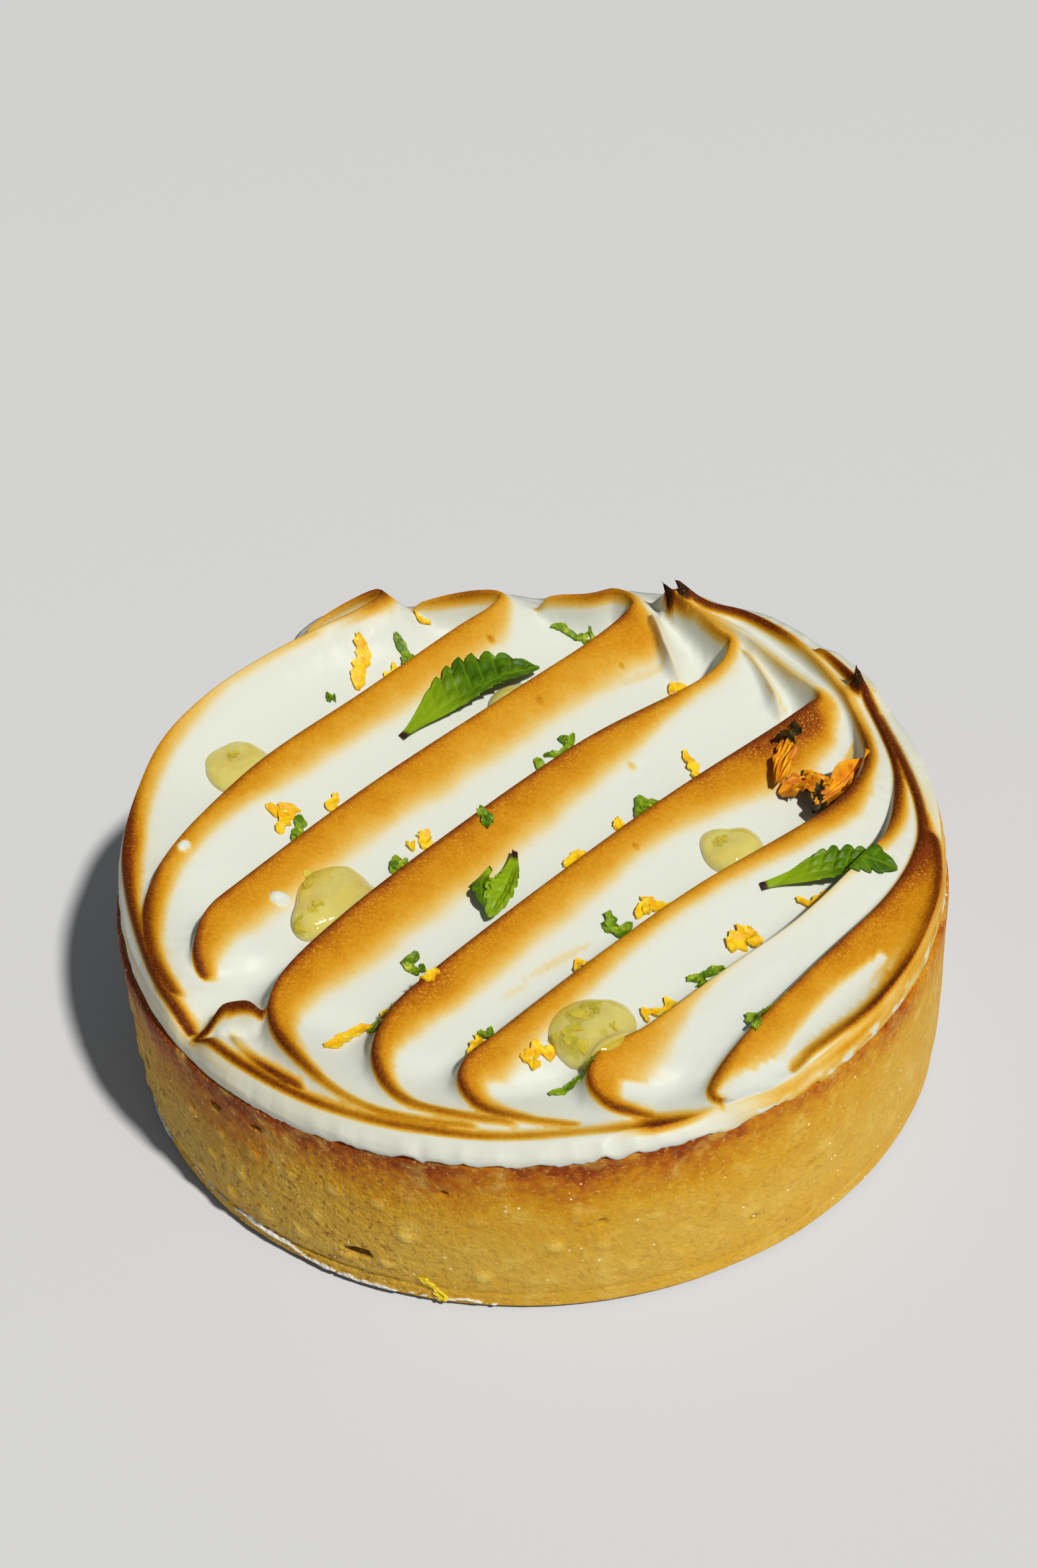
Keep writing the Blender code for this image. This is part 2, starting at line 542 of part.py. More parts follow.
class Ground:
    """The upper surface of what lies below, found by casting down onto it."""

    def __init__(self, items):
        self.trees = []
        for item in items:
            mesh = bmesh.new()
            mesh.from_mesh(item.data)
            self.trees.append(BVHTree.FromBMesh(mesh))
            mesh.free()

    def height(self, x, y, reach=0.45):
        """Highest point below a small patch around x, y, in millimetres."""
        best = CASE_HEIGHT
        for dx, dy in ((0, 0), (reach, 0), (-reach, 0), (0, reach), (0, -reach)):
            origin = Vector(((x + dx) * MM, (y + dy) * MM, 0.1))
            for tree in self.trees:
                hit = tree.ray_cast(origin, Vector((0, 0, -1)))[0]
                if hit is not None:
                    best = max(best, hit.z / MM)
        return best


def blade(ground, spec, seed):
    """A leaf or petal: two faces of like triangles about a curved, folded midrib."""
    start, middle, tip, left, right, fold, teeth = spec
    chance = random.Random(seed)
    phase = chance.uniform(0.0, math.tau)
    lift = math.tan(math.radians(fold))
    columns = (-1.0, -0.5, 0.0, 0.5, 1.0)
    rows = []
    for k in range(BLADE_STATIONS + 1):
        t = k / BLADE_STATIONS
        a, b, c = (1 - t) ** 2, 2 * t * (1 - t), t * t
        centre = a * np.array(start) + b * np.array(middle) + c * np.array(tip)
        heading = (1 - t) * (np.array(middle) - np.array(start)) + t * (np.array(tip) - np.array(middle))
        heading = heading[:2] / np.linalg.norm(heading[:2])
        normal = np.array((-heading[1], heading[0]))
        swell = math.sin(math.pi * min(1.0, 0.06 + 0.9 * t ** 0.8)) ** 0.75
        row = []
        for column in columns:
            half = left if column > 0 else right
            edge = 1.0
            if teeth and abs(column) == 1.0:
                edge = 1.0 + TOOTH_DEPTH * (1 if k % 2 else -1)
            out = column * half * swell * edge
            wave = 0.25 * abs(column) * math.sin(phase + 2.2 * math.pi * t + column)
            spot = centre[:2] + normal * out
            row.append((spot[0], spot[1], centre[2] + lift * abs(out) * 0.6 + wave))
        rows.append(row)
    base = ground.height(*np.array(rows[BLADE_STATIONS // 2][2])[:2])
    body = bmesh.new()
    lower, upper = [], []
    for row in rows:
        low_row, high_row = [], []
        for x, y, level in row:
            z = max(base + level, ground.height(x, y) + GAP + 0.1)
            low_row.append(body.verts.new((x, y, z)))
            high_row.append(body.verts.new((x, y, z + BLADE_THICKNESS)))
        lower.append(low_row)
        upper.append(high_row)
    last = len(columns) - 1
    for k in range(BLADE_STATIONS):
        for j in range(last):
            for sheet in (lower, upper):
                p, q = sheet[k][j], sheet[k][j + 1]
                r, s = sheet[k + 1][j + 1], sheet[k + 1][j]
                body.faces.new((p, q, r))
                body.faces.new((p, r, s))
        for j in (0, last):
            body.faces.new((lower[k][j], lower[k + 1][j], upper[k + 1][j], upper[k][j]))
    for k in (0, BLADE_STATIONS):
        for j in range(last):
            body.faces.new((lower[k][j], lower[k][j + 1], upper[k][j + 1], upper[k][j]))
    return body


def build_blades(name, specs, ground, slot):
    """A leaf or petal cluster: its blades joined into one body."""
    item = add_object(name, blade(ground, specs[0], len(name)), slot)
    if len(specs) > 1:
        extras = bpy.data.collections.new("more_blades")
        bpy.context.scene.collection.children.link(extras)
        pieces = []
        for number, spec in enumerate(specs[1:], start=1):
            piece = add_object("%s_blade_%d" % (name, number), blade(ground, spec, number), slot)
            bpy.context.scene.collection.objects.unlink(piece)
            extras.objects.link(piece)
            pieces.append(piece)
        union = item.modifiers.new("join", "BOOLEAN")
        union.operation = "UNION"
        union.solver = "MANIFOLD"
        union.operand_type = "COLLECTION"
        union.collection = extras
        apply_modifiers(item)
        for piece in pieces:
            bpy.data.objects.remove(piece, do_unlink=True)
        bpy.data.collections.remove(extras)
        drop_small_bodies(item)
    return item


def main():
    clear_scene()
    slots = {name: material(name) for name in COLOURS}
    strokes = build_strokes()
    build_case(slots["pastry"])
    meringue = build_meringue(strokes, slots["meringue"])
    raised = bpy.data.objects.new("meringue_raised", meringue.data.copy())
    bpy.context.scene.collection.objects.link(raised)
    raised.location.z = GAP * MM
    bpy.context.view_layer.update()
    laid = [meringue]
    for number, spec in enumerate(GEL_DROPS, start=1):
        laid.append(build_gel(strokes, number, spec, raised, slots["gel"]))
    bpy.data.objects.remove(raised, do_unlink=True)
    ground = Ground(laid)
    for name, specs in LEAVES.items():
        build_blades(name, specs, ground, slots["leaf"])
    for name, specs in PETALS.items():
        build_blades(name, specs, ground, slots["petal"])


main()
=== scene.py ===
# %% [markdown]
# # A lemon meringue tart
# This file dresses a small tart that was modelled as plain solids. Each step below first says what the
# thing is on a real tart and how it could be made, and the cell after it makes it.
# The solids come in as a fixed frame, and every new piece is built in the same place and size.

# %% Load the frame
import math
import random

import bmesh
import bpy
import numpy as np
from mathutils import Matrix, Vector, noise
from mathutils.bvhtree import BVHTree
from mathutils.geometry import delaunay_2d_cdt


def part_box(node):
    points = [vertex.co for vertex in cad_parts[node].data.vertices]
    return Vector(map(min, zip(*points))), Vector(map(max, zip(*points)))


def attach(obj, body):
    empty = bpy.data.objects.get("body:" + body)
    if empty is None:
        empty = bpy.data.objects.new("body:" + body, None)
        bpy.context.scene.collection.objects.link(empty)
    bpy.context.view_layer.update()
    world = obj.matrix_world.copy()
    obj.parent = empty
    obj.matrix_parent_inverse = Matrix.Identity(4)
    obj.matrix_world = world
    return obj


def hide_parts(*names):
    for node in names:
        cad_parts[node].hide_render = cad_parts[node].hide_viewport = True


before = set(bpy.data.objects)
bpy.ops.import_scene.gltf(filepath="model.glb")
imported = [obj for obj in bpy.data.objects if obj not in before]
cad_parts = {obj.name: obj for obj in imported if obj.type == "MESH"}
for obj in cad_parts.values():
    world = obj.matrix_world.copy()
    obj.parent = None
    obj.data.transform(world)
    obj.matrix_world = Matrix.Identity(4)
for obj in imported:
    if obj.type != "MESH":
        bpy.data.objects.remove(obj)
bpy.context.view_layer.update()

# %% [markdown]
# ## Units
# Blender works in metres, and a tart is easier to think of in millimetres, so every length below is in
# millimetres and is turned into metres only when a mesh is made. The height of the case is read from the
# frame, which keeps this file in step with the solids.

MM = 0.001
case_low, case_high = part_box("pastry_case")
RING_RADIUS = 42.5
CASE_HEIGHT = case_high[2] / MM
print("case %.1f mm high, box %.1f mm wide" % (CASE_HEIGHT, (case_high[0] - case_low[0]) / MM))

# %% [markdown]
# ## The camera
# The picture looks down at the tart from the front with a lens of about 50 mm. A camera can be turned
# by hand until it looks right, or worked out from the two rims of the case, which are circles of a
# known size. The second way was used, and it gives the height of the case as well: the values here are
# a distance, an elevation, and the small turns that put the tart where it is in the picture.

# %% Place the camera
CAMERA_DISTANCE = 0.23744
CAMERA_ELEVATION = math.radians(42.629)
CAMERA_ROLL = math.radians(3.659)
CAMERA_YAW = math.radians(-0.158)
CAMERA_PITCH = math.radians(-5.705)


def place_camera():
    """Camera on the -Y side, looking at the tart's foot and then turned a little off it."""
    look = Vector((0.0, math.cos(CAMERA_ELEVATION), -math.sin(CAMERA_ELEVATION)))
    right = Vector((1.0, 0.0, 0.0))
    up = right.cross(look)
    aim = Matrix((right, up, -look)).transposed()
    turns = (Matrix.Rotation(CAMERA_ROLL, 3, "Z") @ Matrix.Rotation(CAMERA_PITCH, 3, "X")
             @ Matrix.Rotation(CAMERA_YAW, 3, "Y"))
    data = bpy.data.cameras.new("camera")
    data.lens = 50.0
    data.sensor_width = 36.0
    data.clip_start = 0.01
    camera = bpy.data.objects.new("camera", data)
    bpy.context.scene.collection.objects.link(camera)
    camera.matrix_world = (aim @ turns.transposed()).to_4x4()
    camera.location = -look * CAMERA_DISTANCE
    bpy.context.scene.camera = camera
    return camera


camera = place_camera()
print("camera at", [round(v, 4) for v in camera.location])

# %% [markdown]
# ## Floor and light
# The tart stands on a plain pale table in sun from the front right. It could be lit by soft area lamps,
# but the long clear shadow needs one distant lamp, so a sun with a softened edge is used. An even sky
# fills the shadows, and rays straight from the camera see a pale grey behind the table's far edge.

# %% Build the stage
TABLE_REACH = 30.0
TABLE_COLOUR = (0.71, 0.712, 0.722)
SUN_STRENGTH = 3.42
SUN_SIZE = math.radians(4.0)
SUN_COLOUR = (1.0, 0.98, 0.945)
TOWARDS_SUN = Vector((0.50, -0.60, 1.0))
SKY_COLOUR = (0.88, 0.94, 1.0, 1.0)
SKY_STRENGTH = 0.12
SEEN_BEHIND = (0.68, 0.68, 0.69, 1.0)


def shader_of(material):
    return material.node_tree.nodes["Principled BSDF"]


def new_material(name, colour, roughness):
    """A material with a Principled shader at one colour and roughness."""
    material = bpy.data.materials.new(name)
    material.use_nodes = True
    shader = shader_of(material)
    shader.inputs["Base Color"].default_value = (*colour, 1.0)
    shader.inputs["Roughness"].default_value = roughness
    return material


def start_finish(name, colour, roughness):
    """A new material, with its tree and its shader to work on."""
    material = new_material(name, colour, roughness)
    return material, material.node_tree, shader_of(material)


def build_stage():
    mesh = bpy.data.meshes.new("table")
    corners = [(TABLE_REACH * x, TABLE_REACH * y, 0.0) for x, y in ((-1, -1), (1, -1), (1, 1), (-1, 1))]
    mesh.from_pydata(corners, [], [(0, 1, 2, 3)])
    table = bpy.data.objects.new("table", mesh)
    table.location.z = -0.1 * MM
    bpy.context.scene.collection.objects.link(table)
    mesh.materials.append(new_material("pale_table", TABLE_COLOUR, 0.6))
    sun = bpy.data.lights.new("sun", "SUN")
    sun.energy = SUN_STRENGTH
    sun.angle = SUN_SIZE
    sun.color = SUN_COLOUR
    lamp = bpy.data.objects.new("sun", sun)
    lamp.rotation_euler = TOWARDS_SUN.to_track_quat("Z", "Y").to_euler()
    bpy.context.scene.collection.objects.link(lamp)
    world = bpy.data.worlds.new("sky")
    world.use_nodes = True
    sky = world.node_tree.nodes["Background"]
    sky.inputs["Color"].default_value = SKY_COLOUR
    sky.inputs["Strength"].default_value = SKY_STRENGTH
    seen = world.node_tree.nodes.new("ShaderNodeBackground")
    seen.inputs["Color"].default_value = SEEN_BEHIND
    choice = world.node_tree.nodes.new("ShaderNodeMixShader")
    path = world.node_tree.nodes.new("ShaderNodeLightPath")
    link = world.node_tree.links.new
    link(path.outputs["Is Camera Ray"], choice.inputs[0])
    link(sky.outputs[0], choice.inputs[1])
    link(seen.outputs[0], choice.inputs[2])
    link(choice.outputs[0], world.node_tree.nodes["World Output"].inputs["Surface"])
    bpy.context.scene.world = world
    bpy.context.scene.view_settings.view_transform = "Standard"


build_stage()
print("sun %.2f, sky %.2f" % (SUN_STRENGTH, SKY_STRENGTH))

# %% [markdown]
# ## The strokes of meringue
# A baker lays the meringue on thick and draws a spatula through it in long strokes. Each stroke leaves
# a sharp ridge with a broad, gentle face on one side and a steep one on the other, and the next stroke
# cuts into the broad face of the last.
# This could be sculpted, or each wave swept as its own sheet. Here the top is one height field: every
# ridge is a smooth line on the plan, each place takes its height from the distance to the lines, and a
# soft maximum lets the strokes run into each other as the real ones do.

# %% Ridge lines
# Plan x, plan y and lift off the general dome, from the curled back end to the front end
STROKES = {
    "rim_left": [(-25.8, 29.6, -1.2), (-22.8, 31.8, 1.0), (-19.0, 34.0, 2.1), (-15.5, 35.5, 2.6),
                 (-14.0, 34.5, 2.4), (-17.0, 32.5, 1.7), (-21.5, 30.5, 0.9), (-27.5, 26.5, 0.4),
                 (-33.5, 21.0, 0.2), (-38.0, 15.0, 0.0), (-40.0, 8.0, 0.0), (-40.6, 0.0, 0.0),
                 (-39.5, -7.5, 0.0), (-37.5, -14.5, 0.0), (-35.0, -21.0, 0.0), (-32.7, -24.7, 0.0)],
    "second": [(-13.5, 37.0, -2.5), (-9.5, 36.5, 0.0), (-5.5, 37.0, 0.5), (-2.0, 36.8, 0.6),
               (-0.8, 35.5, 0.5), (-2.5, 33.2, 0.2), (-6.5, 29.8, 0.0), (-16.5, 19.5, 0.0),
               (-27.0, 9.0, 0.0), (-34.8, -2.5, 0.0), (-36.9, -7.0, 0.0), (-37.1, -12.0, 0.0),
               (-35.6, -18.0, 0.0), (-33.0, -23.0, -0.5)],
    "third": [(1.0, 36.8, -2.5), (4.5, 36.0, -0.2), (8.5, 35.4, 0.3), (11.5, 35.8, 0.5),
              (13.7, 34.2, 0.5), (13.5, 31.5, 0.3), (8.5, 26.0, 0.0), (-0.5, 17.8, 0.0),
              (-15.5, 4.0, 0.0), (-27.5, -8.7, 0.0), (-31.0, -13.0, 0.0), (-32.0, -17.0, -0.3),
              (-31.3, -19.8, -1.0)],
    "fourth": [(16.5, 33.5, -0.8), (19.5, 31.3, -0.2), (22.8, 27.3, 0.0), (24.0, 24.5, 0.0),
               (20.2, 18.2, 0.0), (6.2, 8.5, 0.0), (-9.8, -6.5, 0.0), (-18.9, -16.2, 0.0),
               (-23.5, -22.5, 0.0), (-24.2, -27.0, 0.0), (-21.3, -31.7, 0.0), (-16.5, -36.2, 0.0),
               (-11.0, -38.4, -0.2), (-4.5, -39.6, -0.5)],
    "fifth": [(17.7, 32.6, 1.8), (19.3, 30.9, 1.0), (22.0, 29.0, 0.4), (25.5, 26.0, 0.0),
              (29.5, 19.8, 0.0), (32.4, 15.0, 0.0), (28.6, 10.7, 0.0), (15.6, 0.1, 0.0),
              (5.9, -8.6, 0.0), (-9.3, -23.1, 0.0), (-13.5, -28.0, 0.0), (-14.7, -32.5, 0.0),
              (-12.5, -36.3, 0.0), (-7.0, -38.4, -0.2), (-1.0, -39.6, -0.5)],
    "sixth": [(19.6, 32.2, 0.9), (22.5, 30.3, 0.8), (26.3, 28.5, 0.9), (31.0, 23.5, 0.6),
              (34.0, 17.5, 0.4), (35.9, 11.0, 0.0), (35.6, 3.6, 0.0), (30.4, -4.0, 0.0),
              (16.6, -13.9, 0.0), (7.0, -21.8, 0.0), (-3.0, -30.6, 0.0), (-6.9, -34.3, 0.0),
              (-5.8, -37.6, 0.0), (-1.0, -39.2, -0.3), (4.0, -39.9, -0.6)],
    "seventh": [(31.8, 24.0, 0.3), (34.4, 20.4, 0.5), (36.3, 16.4, 1.0), (37.4, 13.6, 0.3),
                (38.3, 8.5, 0.0), (38.4, 2.0, 0.0), (36.5, -5.6, 0.0), (33.0, -11.0, -0.1),
                (25.6, -18.3, -0.8), (17.2, -24.7, -1.0), (10.0, -30.8, -0.6), (5.5, -33.7, -0.1),
                (4.4, -36.3, 0.0), (6.2, -38.6, 0.0), (10.5, -39.4, -0.4)],
    "eighth": [(37.9, 14.0, -0.8), (39.2, 6.0, 0.0), (39.8, -2.5, 0.0), (38.5, -8.7, -0.2),
               (34.2, -15.6, -0.6), (26.1, -24.1, -0.9), (19.3, -31.2, -0.6), (15.7, -35.6, -0.3),
               (14.9, -37.7, -0.3), (17.0, -38.2, -0.6), (20.5, -36.3, -0.9)],
    "rim_right": [(22.0, -34.6, -0.8), (30.7, -27.8, -0.6), (36.5, -20.3, -0.6), (39.4, -12.0, -0.4),
                  (40.2, -4.5, -0.3)],
    "rim_front": [(-32.2, -25.6, 0.0), (-27.1, -30.6, -0.3), (-20.5, -35.4, -0.3), (-13.2, -38.6, -0.3),
                  (-4.0, -40.6, -0.3), (6.0, -40.5, -0.3), (14.0, -39.4, -0.5), (20.0, -36.4, -0.9)],
    "curl": [(-31.9, -25.4, 0.3), (-30.2, -24.6, 0.7), (-27.5, -24.5, 0.6), (-25.2, -25.2, 0.3),
             (-24.5, -26.4, -0.3)],
    "curl_fold": [(-28.9, -24.9, -0.6), (-28.4, -26.5, -0.8), (-26.6, -29.4, -0.6), (-23.9, -32.0, -0.4),
                  (-20.5, -34.4, -0.3)],
    "blade_mark_back": [(14.8, 33.2, -0.4), (16.3, 29.8, -0.3), (17.2, 26.0, -1.2), (18.4, 23.0, -2.0)],
    "blade_mark_right": [(24.3, 25.6, -0.8), (26.6, 21.5, -1.2), (28.0, 17.0, -1.9), (27.9, 14.4, -3.0)],
}
# How far each ridge's gentle and steep face reaches
GENTLE = 5.6
STEEP = 1.7
FACES = {
    "rim_left": (4.6, 1.5), "seventh": (4.6, 1.5), "eighth": (3.4, 1.6), "rim_right": (2.2, 2.4),
    "rim_front": (2.6, 1.8), "curl": (1.3, 1.2), "curl_fold": (1.6, 1.4),
    "blade_mark_back": (2.6, 1.6), "blade_mark_right": (2.6, 2.2),
}
# Where the flame browned each ridge: share of the way along it, strength, width of the brown band
TOAST = {
    "rim_left": [(0, 0.3, 0.6), (0.1, 0.7, 0.9), (0.15, 0.95, 1.6), (0.2, 0.6, 1.3), (0.25, 0.4, 1),
                 (0.4, 0.28, 1.1), (0.5, 0.52, 2.1), (0.6, 0.7, 2.2), (0.65, 1, 2.2), (0.7, 1.15, 2.3),
                 (0.8, 1, 1.5), (0.9, 1, 1.6), (1, 1, 1.6)],
    "second": [(0, 0.3, 1), (0.1, 0.8, 1.2), (0.15, 0.6, 1), (0.2, 0.72, 4.6), (0.3, 0.74, 5),
               (0.45, 0.8, 4.6), (0.55, 0.78, 4.5), (0.6, 0.85, 3.8), (0.65, 0.78, 2.9), (0.7, 0.68, 2.5),
               (0.75, 0.72, 2.5), (0.8, 0.88, 2.6), (0.85, 1, 2.2), (0.9, 0.95, 1.5), (1, 0.95, 1.2)],
    "third": [(0, 0.3, 1), (0.1, 0.75, 2), (0.17, 0.6, 1.5), (0.2, 1, 7.5), (0.25, 0.85, 6.5),
              (0.3, 0.78, 6.2), (0.5, 0.8, 6), (0.6, 0.88, 6), (0.7, 0.84, 5.5), (0.9, 0.92, 5.3),
              (0.95, 1, 3.7), (1, 0.95, 1.2)],
    "fourth": [(0, 0.3, 3), (0.1, 0.6, 1.6), (0.2, 0.62, 1.5), (0.25, 0.85, 2.7), (0.3, 0.9, 4.4),
               (0.4, 0.95, 6), (0.5, 0.98, 7), (0.6, 1, 6.7), (0.7, 1, 5.9), (0.75, 0.98, 4.4),
               (0.8, 0.95, 1.7), (0.85, 0.6, 0.7), (1, 0.55, 0.7)],
    "fifth": [(0, 0.9, 1), (0.05, 0.35, 2.5), (0.1, 0.12, 1), (0.15, 0.3, 1.2), (0.2, 0.2, 1.2),
              (0.225, 0.8, 3), (0.25, 1.25, 5.2), (0.3, 1.2, 7.5), (0.35, 1, 6.5), (0.4, 0.95, 5.2),
              (0.45, 0.82, 4.2), (0.5, 0.85, 3.7), (0.6, 0.8, 4.9), (0.7, 0.95, 4.7), (0.75, 1.05, 4.9),
              (0.8, 0.95, 4.2), (0.85, 0.95, 1.9), (0.9, 0.7, 0.7), (1, 0.55, 0.8)],
    "sixth": [(0, 1, 2), (0.1, 1, 2), (0.15, 0.45, 1.2), (0.25, 0.5, 1.4), (0.3, 0.8, 1.2),
              (0.35, 0.95, 1.4), (0.4, 1.05, 2.6), (0.45, 0.78, 2.4), (0.55, 0.62, 1.6), (0.65, 0.65, 1.6),
              (0.7, 0.65, 2.2), (0.75, 0.78, 2.9), (0.8, 0.82, 3.4), (0.85, 0.9, 4.9), (0.9, 0.9, 2.4),
              (0.95, 0.6, 0.8), (1, 0.5, 0.8)],
    "seventh": [(0, 0.5, 0.8), (0.1, 1.1, 1), (0.2, 1, 1), (0.3, 1.05, 1.4), (0.35, 0.95, 1.7),
                (0.4, 0.75, 1.3), (0.45, 0.4, 1), (0.5, 0.2, 0.7), (0.65, 0.1, 0.6), (0.7, 0.25, 0.6),
                (0.75, 0.45, 1.3), (0.8, 0.55, 3.2), (0.85, 0.75, 6), (0.9, 0.85, 6.5), (0.95, 0.9, 2),
                (1, 0.6, 1.2)],
    "eighth": [(0, 0.9, 0.6), (0.25, 1.1, 0.7), (0.3, 1.1, 2), (0.35, 1.15, 3.8), (0.4, 1.05, 7),
               (0.5, 0.95, 8), (0.6, 0.95, 5.8), (0.65, 0.82, 5.4), (0.75, 0.82, 4.8), (0.8, 0.82, 4.8),
               (0.85, 0.8, 2), (0.9, 0.8, 0.9), (1, 0.45, 0.7)],
    "rim_right": [(0, 0.55, 1.6), (0.15, 0.7, 2.2), (0.25, 0.85, 1.6), (0.35, 1, 1.8), (0.45, 1.05, 2.2),
                  (0.6, 0.95, 4), (0.8, 1, 5), (0.9, 1.05, 3), (1, 1, 1.5)],
    "rim_front": [(0, 0.9, 1.2), (0.15, 0.9, 1.6), (0.25, 0.82, 1.5), (0.35, 0.68, 1.3), (0.45, 0.76, 1.3),
                  (0.55, 0.62, 1.1), (0.7, 0.5, 1.1), (0.77, 0.6, 1.2), (0.8, 1, 2.5), (0.85, 0.85, 2),
                  (0.9, 0.3, 1), (1, 0.5, 1)],
    "curl": [(0, 1.1, 0.6), (0.5, 1.1, 0.7), (1, 0.9, 0.6)],
    "curl_fold": [(0, 0.1, 0.6), (0.3, 0.35, 1.2), (0.6, 0.95, 1.6), (1, 0.8, 1.2)],
    "blade_mark_back": [(0, 0.2, 1), (1, 0.05, 1)],
    "blade_mark_right": [(0, 0.3, 1.2), (1, 0.05, 1)],
}
# White streaks inside the browning: from, to, half width, share of the brown taken away, and how far
# from a ridge they are at full strength
BARE_STREAKS = [
    ((21.6, -33.6), (32.6, -21.6), 1.5, 0.95, 0.9), ((15.8, -38.6), (20.6, -35.8), 1.6, 1.0, 0.9),
    ((36.4, -12.0), (38.6, -5.0), 0.5, 0.6, 0.9), ((-23.8, 30.2), (-15.0, 34.9), 2.2, 0.97, 0.26),
]
# Faint scorch marks in the hollows: from, to, half width, strength
SCORCH_MARKS = [
    ((-1.3, -22.1), (5.2, -17.5), 0.8, 0.16), ((-3.4, -24.4), (-1.0, -22.6), 0.6, 0.14),
    ((8.3, 20.7), (17.1, 26.2), 0.9, 0.17), ((34.7, 9.2), (32.2, 4.2), 0.8, 0.32),
    ((26.9, 19.3), (28.6, 16.4), 0.5, 0.20),
]
# Bubbles under the skin: place, radius along and across, turn, rise, browning added
BUBBLES = [
    ((-24.7, -9.8), 0.95, 0.62, 15.0, 0.55, -0.9), ((-34.2, -2.8), 0.75, 0.40, 50.0, 0.35, -0.7),
    ((-2.7, 30.2), 0.45, 0.45, 0.0, 0.10, 0.32), ((11.3, 7.7), 0.50, 0.45, 0.0, 0.08, 0.25),
    ((10.7, -6.5), 0.35, 0.35, 0.0, 0.10, 0.20), ((11.5, 24.6), 0.35, 0.35, 0.0, 0.08, 0.20),
    ((2.3, 18.0), 0.40, 0.40, 0.0, 0.18, 0.15), ((-16.2, 21.3), 0.30, 0.30, 0.0, 0.12, 0.15),
]
# Height of the hollows at the front and the back, and where they begin and end to rise
FLOOR_FRONT, FLOOR_BACK = 20.9, 22.6
RISE_FROM, RISE_TO = -38.0, 34.0
# Height of the ridges in the middle, their slope to the back, and how far they drop in front and outside
DOME_HEIGHT, DOME_SLOPE, FRONT_DROP, OUTER_DROP = 27.2, 0.06, 1.0, 1.8
TOP_RADIUS = 41.5
END_TAPER = 3.2
LINE_STEP = 0.4
# How hollow the faces are, and how hard the strokes run into each other
FACE_CURVE = 1.15
BLEND = 4.0
print(len(STROKES), "ridges")

# %% [markdown]
# ## Rules for the height
# A curve modifier could carry a ridge along a path, but it can't tell how far away each place of the
# surface is. So the lines are sampled here, and each stroke answers for any place: how far it is from
# the ridge, on which side, and how much the stroke raises it there.

# %% Curves and height rules
CHUNK = 8000


def smoothstep(low, high, value):
    """0 below low, 1 above high and a soft S between."""
    t = np.clip((value - low) / (high - low), 0.0, 1.0)
    return t * t * (3.0 - 2.0 * t)


def floor_height(x, y):
    """Height of the hollows, rising gently to the back."""
    return FLOOR_FRONT + (FLOOR_BACK - FLOOR_FRONT) * smoothstep(RISE_FROM, RISE_TO, y)


def dome_height(x, y):
    """Height of the ridges before each one's own lift."""
    radius = np.hypot(x, y) / RING_RADIUS
    front = np.clip((-y - 14.0) / 27.0, 0.0, 1.0)
    edge = smoothstep(0.78, 0.97, radius) * (1.0 - smoothstep(8.0, 26.0, y))
    return DOME_HEIGHT + DOME_SLOPE * y - FRONT_DROP * front ** 2 - OUTER_DROP * edge


def spline(points, step):
    """Smooth curve through the points, as evenly spaced samples."""
    knots = np.array(points, dtype=float)
    ends = np.vstack([2 * knots[0] - knots[1], knots, 2 * knots[-1] - knots[-2]])
    dense = []
    for p0, p1, p2, p3 in zip(ends[:-3], ends[1:-2], ends[2:-1], ends[3:]):
        for t in np.linspace(0.0, 1.0, 24, endpoint=False):
            dense.append(0.5 * (2 * p1 + (p2 - p0) * t + (2 * p0 - 5 * p1 + 4 * p2 - p3) * t ** 2
                                + (3 * p1 - p0 - 3 * p2 + p3) * t ** 3))
    dense.append(knots[-1])
    dense = np.array(dense)
    run = np.r_[0.0, np.cumsum(np.hypot(*np.diff(dense[:, :2], axis=0).T))]
    count = max(2, int(round(run[-1] / step)) + 1)
    places = np.linspace(0.0, run[-1], count)
    return np.column_stack([np.interp(places, run, dense[:, k]) for k in range(3)]), places


